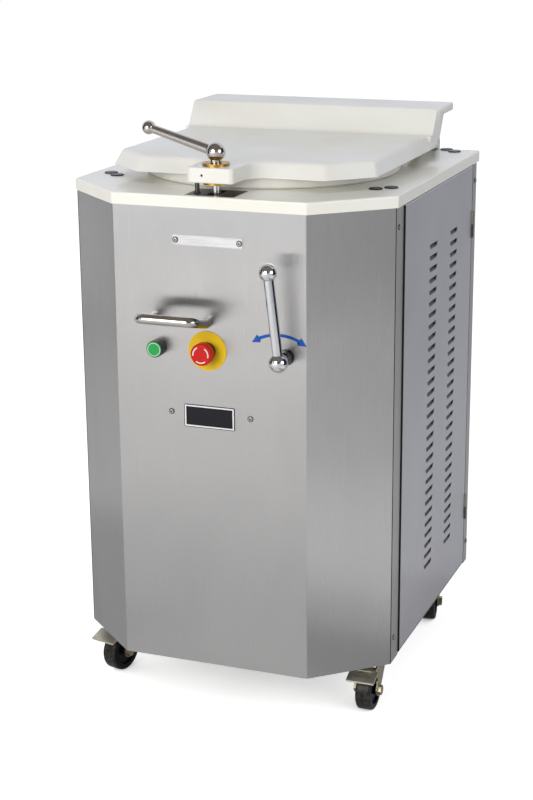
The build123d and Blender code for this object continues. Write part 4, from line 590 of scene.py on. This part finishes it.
# The blue turning arrow beside the lever: an arc with a head at each end, printed on the front skin in
# one thick coat of ink to show the two ways in which the lever swings.
arrow_left = Vector((0.080, 0.736))
arrow_right = Vector((0.182, 0.738))
arrow_top = 0.0165
arrow_half = 0.0028
head_long = 0.015
head_half = 0.0075
arrow_middle = (arrow_left + arrow_right) / 2
half_chord = (arrow_right - arrow_left).length / 2
arc_radius = (half_chord**2 + arrow_top**2) / (2 * arrow_top)
arc_centre = arrow_middle - Vector((0, arc_radius - arrow_top))
arc_half_angle = math.asin(half_chord / arc_radius)
head_angle = head_long / arc_radius


def on_arc(radius, angle):
    """A point of the arrow, at an angle from the top of its arc."""
    return (arc_centre.x + radius * math.sin(angle), arc_centre.y + radius * math.cos(angle))


arc_steps = 40
sweep = arc_half_angle - head_angle
shaft_turns = [sweep * (2 * step / arc_steps - 1) for step in range(arc_steps + 1)]
upper = [on_arc(arc_radius + arrow_half, turn) for turn in shaft_turns]
lower = [on_arc(arc_radius - arrow_half, turn) for turn in reversed(shaft_turns)]
right_tip, left_tip = on_arc(arc_radius, arc_half_angle), on_arc(arc_radius, -arc_half_angle)
right_head = [on_arc(arc_radius + head_half, sweep), right_tip, on_arc(arc_radius - head_half, sweep)]
left_head = [on_arc(arc_radius - head_half, -sweep), left_tip, on_arc(arc_radius + head_half, -sweep)]
arrow = bmesh.new()
arrow_outline = upper + right_head + lower + left_head
add_plate(arrow, [(x, panel_low.y, z) for x, z in arrow_outline], (0, -print_skin, 0))
bmesh.ops.triangulate(arrow, faces=[face for face in arrow.faces if len(face.verts) > 4])
add_piece("turning_arrow", arrow, painted("print_blue", (0.006, 0.10, 0.46), 0.4), "cabinet")


# The table: an iron casting under thick cream enamel, with black caps over its bolts and a blackened
# latch plate let in at the front.
def cream_enamel(name, colour, roughness, glaze):
    """Thick glossy enamel on a casting: gentle waves and yellowed patches."""
    material, links, shader = new_finish(name, colour, roughness)
    patch = grain_noise(material, (6, 6, 6), 4, 0.5)
    aged = (0.95 * colour[0], 0.93 * colour[1], 0.88 * colour[2])
    links.new(shade_between(material, patch, aged, colour), shader.inputs["Base Color"])
    gloss = value_between(material, patch, roughness * 1.2, roughness * 0.85)
    links.new(gloss, shader.inputs["Roughness"])
    shader.inputs["Coat Weight"].default_value = glaze
    shader.inputs["Coat Roughness"].default_value = 0.08
    raise_grain(material, shader, grain_noise(material, (55, 55, 55), 2), 0.00012)
    return material


dress("table_top", cream_enamel("table_enamel", (0.88, 0.87, 0.81), 0.32, 0.4))
dress("table_plugs", moulded_plastic("cap_black", (0.012, 0.012, 0.014), 0.3))
dress("latch_plate", cast_metal("latch_black", (0.035, 0.034, 0.033), 0.42, 0.6, 0.00004))

# The lid: an iron casting under the same enamel, its colour set a little darker than the table's as painted
# shade. Its pattern and the enamel leave soft edges: wide on the plate, tighter on the ledge, the tongue
# and the underside, and none in the drilled holes.
tongue_tip = loose_pieces("lid")[0][0].y
tongue_root = -0.262
tongue_inside = 0.030
ledge_root = 0.165
set_screw_x, clamp_x, pin_x = -0.014, 0.0, -0.032
ledge_rise = 0.020
fade_from, fade_to, fade_step = 0.120, 0.150, 0.010
neck_length = 0.04
disc_recess = 0.225
plate_round = 0.007
tongue_share, ledge_share, base_share = 0.36, 0.45, 0.3
level_slack = 0.0005

# The press disc seats against the lid's underside, and the locating pin ends half-way up the plate.
lid_base = loose_pieces("lid_press_disc")[0][1].z
lid_middle = loose_pieces("lid_locating_pin")[0][1].z
lid_face = 2 * lid_middle - lid_base

# Each flat with a hole is cut through the hole, and the rim is cut where its rounding fades out before
# the ledge, so that the rounded edges end square.
lid_shape = bmesh.new()
lid_shape.from_mesh(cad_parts["lid"].data)
bmesh.ops.remove_doubles(lid_shape, verts=lid_shape.verts, dist=0.00002)
cuts = [((x, 0, 0), (1, 0, 0)) for x in (set_screw_x, clamp_x, pin_x)]
cross_cuts = (tongue_root, fade_to - 2 * fade_step, fade_to - fade_step, fade_to)
cuts += [((0, y, 0), (0, 1, 0)) for y in cross_cuts]
for point, facing in cuts:
    cut = bmesh.ops.bisect_plane(
        lid_shape,
        geom=lid_shape.verts[:] + lid_shape.edges[:] + lid_shape.faces[:],
        dist=0.00005,
        plane_co=point,
        plane_no=facing,
    )
    for item in cut["geom_cut"]:
        if isinstance(item, bmesh.types.BMEdge):
            item.seam = True
bmesh.ops.dissolve_limit(
    lid_shape,
    angle_limit=math.radians(0.5),
    verts=lid_shape.verts,
    edges=lid_shape.edges,
    delimit={"SEAM"},
)


def edge_softness(edge):
    """How much of the plate's rounding an edge of the lid gets, from 0 to 1."""
    heights = [vert.co.z for vert in edge.verts]
    middle = (edge.verts[0].co + edge.verts[1].co) / 2
    if edge.calc_face_angle() < math.radians(14):
        return 0.0
    if middle.y < tongue_root:
        at_rim = abs(middle.z - lid_middle) > (lid_face - lid_base) / 2 - level_slack
        outer = abs(middle.x) > tongue_inside or (middle.y < tongue_tip + level_slack and at_rim)
        return tongue_share if outer else 0.0
    if middle.y < ledge_root and max(heights) > lid_face - level_slack:
        neck = min(1.0, (middle.y - tongue_root) / neck_length)
        fade = min(1.0, max(0.0, (fade_to - middle.y) / (fade_to - fade_from)))
        return (tongue_share + (1 - tongue_share) * neck) * fade
    if min(heights) > lid_face + ledge_rise:
        return ledge_share
    at_base = abs(middle.z - lid_base) < level_slack
    return base_share if at_base and middle.to_2d().length > disc_recess else 0.0


softness = lid_shape.edges.layers.float.new("bevel_weight_edge")
for edge in lid_shape.edges:
    edge[softness] = edge_softness(edge)
shaded_lid_enamel = cream_enamel("shaded_lid_enamel", (0.845, 0.838, 0.80), 0.36, 0.2)
lid_casting = add_piece("lid_casting", lid_shape, shaded_lid_enamel, "lid")
lid_mesh = lid_casting.data
for face in lid_mesh.polygons:
    face.use_smooth = True
lid_mesh.set_sharp_from_angle(angle=math.radians(30))
for edge, soft in zip(lid_mesh.edges, lid_mesh.attributes["bevel_weight_edge"].data):
    if soft.value > 0:
        edge.use_edge_sharp = False
rounding = lid_casting.modifiers.new("rounding", "BEVEL")
rounding.width = plate_round
rounding.segments = 4
rounding.limit_method = "WEIGHT"
rounding.use_clamp_overlap = False
rounding.loop_slide = False
evening = lid_casting.modifiers.new("evening", "WEIGHTED_NORMAL")
evening.keep_sharp = True
evening.weight = 100
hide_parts("lid")

# The lid's fittings: a plastic press disc under it, hinge blocks, brass bushes pressed in for the clamp
# shaft and held by a grub screw, and a hardened locating pin.
dress("lid_press_disc", moulded_plastic("disc_skin", (0.78, 0.77, 0.72), 0.4))
dress("lid_hinges", turned_steel)
dress("clamp_shaft", turned_steel)
dress("clamp_bushes", bare_metal("bush_brass", (0.46, 0.27, 0.06), 0.34, (80, 80, 1200)))
pin_black = bare_metal("pin_black", (0.09, 0.09, 0.09), 0.3, (90, 90, 1200))
dress("lid_locating_pin", pin_black)
grub_radius, grub_long, grub_sunk = 0.0024, 0.004, 0.003
grub_rim, grub_gap = 0.0008, 0.0001
grub_lap = Vector((0, -0.0002, 0))
grub_place = Vector((set_screw_x, tongue_tip + grub_sunk, lid_middle))
grub = bmesh.new()
add_ring(grub, grub_place, grub_radius / 2, grub_radius, 0, 360, 24, grub_rim)
grub_end = round_outline(grub_radius - grub_gap, 24)
outline = [grub_place + grub_lap + Vector((x, 0, z)) for x, z in grub_end]
add_plate(grub, outline, (0, grub_long, 0))
grub_black = cast_metal("grub_black", (0.02, 0.02, 0.02), 0.5, 0.6, 0.00002)
add_piece("lid_grub_screw", grub, grub_black, "lid")


# The levers and the grab handle: polished steel under bright chrome plate. The back and legs of the grab
# handle are painted darker than its front, as a painted dark reflection.
def chrome_plate(name, colour, roughness):
    """Bright plating with faint finger smears."""
    material, links, shader = new_finish(name, colour, roughness, 1.0)
    smear = grain_noise(material, (40, 40, 40), 4, 1.0)
    dull = tuple(0.93 * c for c in colour)
    links.new(shade_between(material, smear, dull, colour), shader.inputs["Base Color"])
    links.new(value_between(material, smear, roughness * 0.6, roughness * 1.8), shader.inputs["Roughness"])
    return material


dress("press_lever", chrome_plate("bright_chrome", (0.70, 0.71, 0.73), 0.08))
dress("clamp_lever", chrome_plate("worn_nickel", (0.56, 0.53, 0.50), 0.13))


def shade_behind(material, bright_to, dark_from):
    """Paints a dark reflection on a plated piece between two distances along y, darker towards its back."""
    behind = value_between(material, own_place(material)["Y"], 0.0, 1.0, bright_to, dark_from)
    dust_and_shade_over(material, behind).inputs["B"].default_value = (0.18, 0.165, 0.155, 1)


grip_bright, grip_dark = 0.005, 0.014
grip_front = loose_pieces("grab_handle")[0][0].y
grip_nickel = chrome_plate("grip_nickel", (0.56, 0.53, 0.50), 0.13)
shade_behind(grip_nickel, grip_front + grip_bright, grip_front + grip_dark)
dress("grab_handle", grip_nickel)
dress("lever_bush", pin_black)
dress("press_lever_shaft", turned_steel)

# The switches: black moulded bodies clamped in holes in the front skin, a green start button, and a red
# mushroom head on a yellow disc. The ring and the arcs on the caps are printed in white.
switch_black = moulded_plastic("switch_black", (0.02, 0.02, 0.022), 0.35)
for node in ("start_switch_body", "estop_switch_body", "estop_stem"):
    dress(node, switch_black)
dress("start_button_cap", moulded_plastic("button_green", (0.03, 0.38, 0.09), 0.3))
dress("estop_head", moulded_plastic("head_red", (0.60, 0.012, 0.009), 0.3))
dress("estop_disc_plate", moulded_plastic("disc_yellow", (0.80, 0.52, 0.012), 0.4))

cap_low, cap_high = loose_pieces("start_button_cap")[0]
cap_ring = bmesh.new()
cap_centre = ((cap_low.x + cap_high.x) / 2, cap_low.y, (cap_low.z + cap_high.z) / 2)
cap_radius = (cap_high.x - cap_low.x) / 2
ring_inner, ring_outer = 0.80 * cap_radius, 0.87 * cap_radius
add_ring(cap_ring, cap_centre, ring_inner, ring_outer, 0, 360, 48, print_skin)
add_piece("start_cap_ring", cap_ring, print_white, "start_button")

head_low, head_high = loose_pieces("estop_head")[0]
head_arcs = bmesh.new()
head_centre = ((head_low.x + head_high.x) / 2, head_low.y, (head_low.z + head_high.z) / 2)
head_radius = (head_high.x - head_low.x) / 2
arc_inner, arc_outer, arc_length = 0.655 * head_radius, 0.765 * head_radius, 72
for arc_start in (-15, 115, 235):
    add_ring(
        head_arcs, head_centre, arc_inner, arc_outer, arc_start, arc_start + arc_length, 18, print_skin
    )
add_piece("estop_arcs", head_arcs, print_white, "estop_head")


# The castors: stampings in yellow zinc, black tyres whose treads have picked up dust from the floor,
# and brake pedals of a paler zinc.
def dust_tread(material, node):
    """Greys the rubber near a wheel's rim, where it rolls on the floor."""
    clean_in, dusty_out = 0.0012, 0.0004
    nodes = material.node_tree.nodes
    links = material.node_tree.links
    low, high = loose_pieces(node)[0]
    place = nodes.new("ShaderNodeTexCoord")
    reach = nodes.new("ShaderNodeVectorMath")
    reach.operation = "DISTANCE"
    reach.inputs[1].default_value = (low + high) / 2
    links.new(place.outputs["Object"], reach.inputs[0])
    rim = (high.z - low.z) / 2
    rolled = value_between(material, reach.outputs["Value"], 0.0, 1.0, rim - clean_in, rim + dusty_out)
    scuff = grain_noise(material, (150, 150, 150), 4)
    dusty = shade_between(material, scuff, (0.016, 0.015, 0.014), (0.055, 0.050, 0.046))
    links.new(dusty, dust_and_shade_over(material, rolled).inputs["B"])


zinc = bare_metal("zinc", (0.40, 0.345, 0.235), 0.34, (120, 120, 120))
dress("castor_plates", zinc)
pedal_zinc = bare_metal("pedal_zinc", (0.68, 0.65, 0.53), 0.5, (60, 60, 60))
for corner in ("front_left", "front_right", "rear_left", "rear_right"):
    dress("castor_fork_" + corner, zinc)
    tyre = moulded_rubber("tyre_" + corner, (0.003, 0.003, 0.008), 0.3, (0.009, 0.009, 0.018), 0.12)
    dust_tread(tyre, "castor_wheel_" + corner)
    dress("castor_wheel_" + corner, tyre)
for corner in ("front_left", "front_right"):
    dress("brake_pedal_" + corner, pedal_zinc)

# The room: a pale paper floor that keeps the machine's shadow, a white surround, and dark cards and
# pale boards which only show in reflections, as a photographer sets them to draw out bright parts.
floor_half = 14.0
floor_mesh = bpy.data.meshes.new("floor")
floor_mesh.from_pydata(
    [(floor_half * x, floor_half * y, 0) for x, y in ((-1, -1), (1, -1), (1, 1), (-1, 1))],
    [],
    [(0, 1, 2, 3)],
)
floor = bpy.data.objects.new("floor", floor_mesh)
bpy.context.scene.collection.objects.link(floor)
floor_finish = bpy.data.materials.new("floor_paper")
floor_finish.use_nodes = True
floor_mesh.materials.append(floor_finish)
floor_tree = floor_finish.node_tree
floor_tree.nodes.clear()
paper = floor_tree.nodes.new("ShaderNodeBsdfDiffuse")
paper.inputs["Color"].default_value = (0.80, 0.788, 0.770, 1)

# What the camera sees is lifted to white away from the machine, and less so near it, for its shadow.
path = floor_tree.nodes.new("ShaderNodeLightPath")
nearness = floor_tree.nodes.new("ShaderNodeAmbientOcclusion")
nearness.samples = 12
nearness.inputs["Distance"].default_value = 0.30
shadow_level = value_between(floor_finish, nearness.outputs["AO"], 0.20, 0.80, 0.03, 0.26)
lift = reckon(floor_tree, "MULTIPLY", path.outputs["Is Camera Ray"], shadow_level)

# What polished sheet mirrors is a sweep of light and shade over the floor, given by y, and brighter to
# the left of the machine than to its right.
floor_place = own_place(floor_finish)
sweep_near, sweep_far = 4.0, -6.0
sweep_levels = (
    (-5.6, 0.96), (-4.8, 0.76), (-3.9, 0.36), (-3.4, 0.16), (-2.95, 0.08), (-2.2, 0.12),
    (-1.65, 0.23), (-1.2, 0.14), (-0.9, 0.10), (0.8, 0.10), (3.5, 0.22),
)
mirror_sweep = floor_tree.nodes.new("ShaderNodeValToRGB")
while len(mirror_sweep.color_ramp.elements) < len(sweep_levels):
    mirror_sweep.color_ramp.elements.new(0.5)
for stop, (place_y, level) in zip(mirror_sweep.color_ramp.elements, sweep_levels):
    stop.position = (place_y - sweep_far) / (sweep_near - sweep_far)
    stop.color = (level, level, level, 1)
along_sweep = value_between(floor_finish, floor_place["Y"], 0.0, 1.0, sweep_far, sweep_near)
floor_tree.links.new(along_sweep, mirror_sweep.inputs["Fac"])
aside = reckon(floor_tree, "MULTIPLY_ADD", floor_place["Y"], -0.42, floor_place["X"])
left_bright = value_between(floor_finish, aside, 1.75, 0.45, -1.0, 1.3)
sweep_all = reckon(floor_tree, "MULTIPLY", mirror_sweep.outputs["Color"], left_bright)
mirrored = reckon(floor_tree, "MULTIPLY", path.outputs["Is Glossy Ray"], sweep_all)
glow = floor_tree.nodes.new("ShaderNodeEmission")
glow.inputs["Color"].default_value = (1, 1, 1, 1)
floor_tree.links.new(reckon(floor_tree, "ADD", lift, mirrored), glow.inputs["Strength"])
together = floor_tree.nodes.new("ShaderNodeAddShader")
floor_tree.links.new(paper.outputs["BSDF"], together.inputs[0])
floor_tree.links.new(glow.outputs["Emission"], together.inputs[1])
floor_out = floor_tree.nodes.new("ShaderNodeOutputMaterial")
floor_tree.links.new(together.outputs["Shader"], floor_out.inputs["Surface"])

# The surround is grey as a light, white to the camera, and a cool white in metal and glass.
world = bpy.data.worlds.new("studio")
bpy.context.scene.world = world
world.use_nodes = True
world_tree = world.node_tree
rays = world_tree.nodes.new("ShaderNodeLightPath").outputs
seen = reckon(world_tree, "MAXIMUM", rays["Is Camera Ray"], rays["Is Glossy Ray"])
seen = reckon(world_tree, "MAXIMUM", seen, rays["Is Transmission Ray"])
cool = world_tree.nodes.new("ShaderNodeMix")
cool.data_type = "RGBA"
cool.inputs["A"].default_value = (1, 1, 1, 1)
cool.inputs["B"].default_value = (0.90, 0.92, 1.0, 1)
world_tree.links.new(rays["Is Glossy Ray"], cool.inputs["Factor"])
tone = world_tree.nodes.new("ShaderNodeMix")
tone.data_type = "RGBA"
tone.inputs["A"].default_value = (0.30, 0.315, 0.34, 1)
world_tree.links.new(cool.outputs["Result"], tone.inputs["B"])
world_tree.links.new(seen, tone.inputs["Factor"])
world_tree.links.new(tone.outputs["Result"], world_tree.nodes["Background"].inputs["Color"])


def hang_card(name, corners, colour):
    """A card that is seen in reflections only."""
    mesh = bpy.data.meshes.new(name)
    mesh.from_pydata(corners, [], [(0, 1, 2, 3)])
    card = bpy.data.objects.new(name, mesh)
    bpy.context.scene.collection.objects.link(card)
    finish = bpy.data.materials.new(name)
    finish.use_nodes = True
    finish.node_tree.nodes.clear()
    shine = finish.node_tree.nodes.new("ShaderNodeEmission")
    shine.inputs["Color"].default_value = (*colour, 1)
    out = finish.node_tree.nodes.new("ShaderNodeOutputMaterial")
    finish.node_tree.links.new(shine.outputs["Emission"], out.inputs["Surface"])
    mesh.materials.append(finish)
    card.visible_camera = False
    card.visible_diffuse = False
    card.visible_transmission = False
    card.visible_volume_scatter = False
    card.visible_shadow = False


hang_card("card_above", [(-5, -7, 3.4), (5, -7, 3.4), (5, 0.6, 3.4), (-5, 0.6, 3.4)], (0.20, 0.175, 0.155))
for name, one_end, other_end, low, high, colour in (
    ("card_front", (-6, -6.8), (6, -6.8), 1.5, 3.4, (0.10, 0.10, 0.11)),
    ("card_left", (-3, -2.2), (-3, -0.2), 0.02, 2.6, (0.03, 0.03, 0.035)),
    ("card_right", (2.2, -0.5), (2.2, 1.6), 0.02, 2.6, (0.02, 0.02, 0.03)),
    ("card_lens", (1.4, -4.6), (2.2, -4.4), 0.9, 2.1, (0.02, 0.02, 0.02)),
):
    upright = [(*one_end, low), (*other_end, low), (*other_end, high), (*one_end, high)]
    hang_card(name, upright, colour)
board_lift = 0.003
for name, left, right, front, back, grey in (
    ("low_right", 0.36, 0.63, -1.0, 0.45, 0.40),
    ("board_right", 0.82, 1.60, -1.3, 0.00, 0.90),
    ("board_far", 3.20, 6.50, -3.2, -0.60, 0.52),
    ("low_left", -1.20, -0.36, -0.7, 0.70, 0.48),
    ("board_left", -6.00, -3.20, 0.4, 3.20, 0.78),
):
    corners = [(left, front), (right, front), (right, back), (left, back)]
    hang_card(name, [(x, y, board_lift) for x, y in corners], (grey, grey, 1.02 * grey))


# The lights: three square soft boxes, a large warm one in front and to the left, a plain one overhead
# and a cool one out to the right.
def soft_light(name, place, aim, size, power, colour):
    """A square soft box, turned to a point on the machine."""
    lamp = bpy.data.lights.new(name, "AREA")
    lamp.shape = "SQUARE"
    lamp.size = size
    lamp.energy = power
    lamp.color = colour
    box = bpy.data.objects.new(name, lamp)
    box.location = place
    box.rotation_mode = "QUATERNION"
    box.rotation_quaternion = (Vector(aim) - Vector(place)).to_track_quat("-Z", "Y")
    bpy.context.scene.collection.objects.link(box)


soft_light("key_light", (-0.9, -4.4, 1.8), (0, 0, 0.8), 2.2, 111, (1.0, 0.985, 0.955))
soft_light("top_light", (-0.2, -0.8, 4.2), (0, 0, 0.9), 3.0, 30, (1.0, 1.0, 1.0))
soft_light("side_light", (3.6, -1.6, 1.7), (0, 0, 0.9), 1.8, 32, (0.97, 0.98, 1.0))

# The camera: a long lens at eye height, a little above the table and to the right of the machine's
# front, turned and tilted until the table's corners fall into place.
camera_place = (1.1471, -3.0485, 1.4946)
camera_yaw = math.radians(21.001)
camera_pitch = math.radians(16.504)
camera_roll = math.radians(-0.4708)
level_right = Vector((math.cos(camera_yaw), math.sin(camera_yaw), 0))
level_ahead = Vector((-math.sin(camera_yaw), math.cos(camera_yaw), 0))
forward = math.cos(camera_pitch) * level_ahead - math.sin(camera_pitch) * Vector((0, 0, 1))
level_up = level_right.cross(forward)
camera_right = math.cos(camera_roll) * level_right + math.sin(camera_roll) * level_up
camera_up = -math.sin(camera_roll) * level_right + math.cos(camera_roll) * level_up
lens = bpy.data.cameras.new("camera")
lens.lens = 77.6
lens.sensor_width = 36
camera = bpy.data.objects.new("camera", lens)
turn = Matrix((camera_right, camera_up, -forward)).transposed().to_4x4()
camera.matrix_world = Matrix.Translation(camera_place) @ turn
bpy.context.scene.collection.objects.link(camera)
bpy.context.scene.camera = camera
bpy.context.scene.view_settings.view_transform = "Standard"
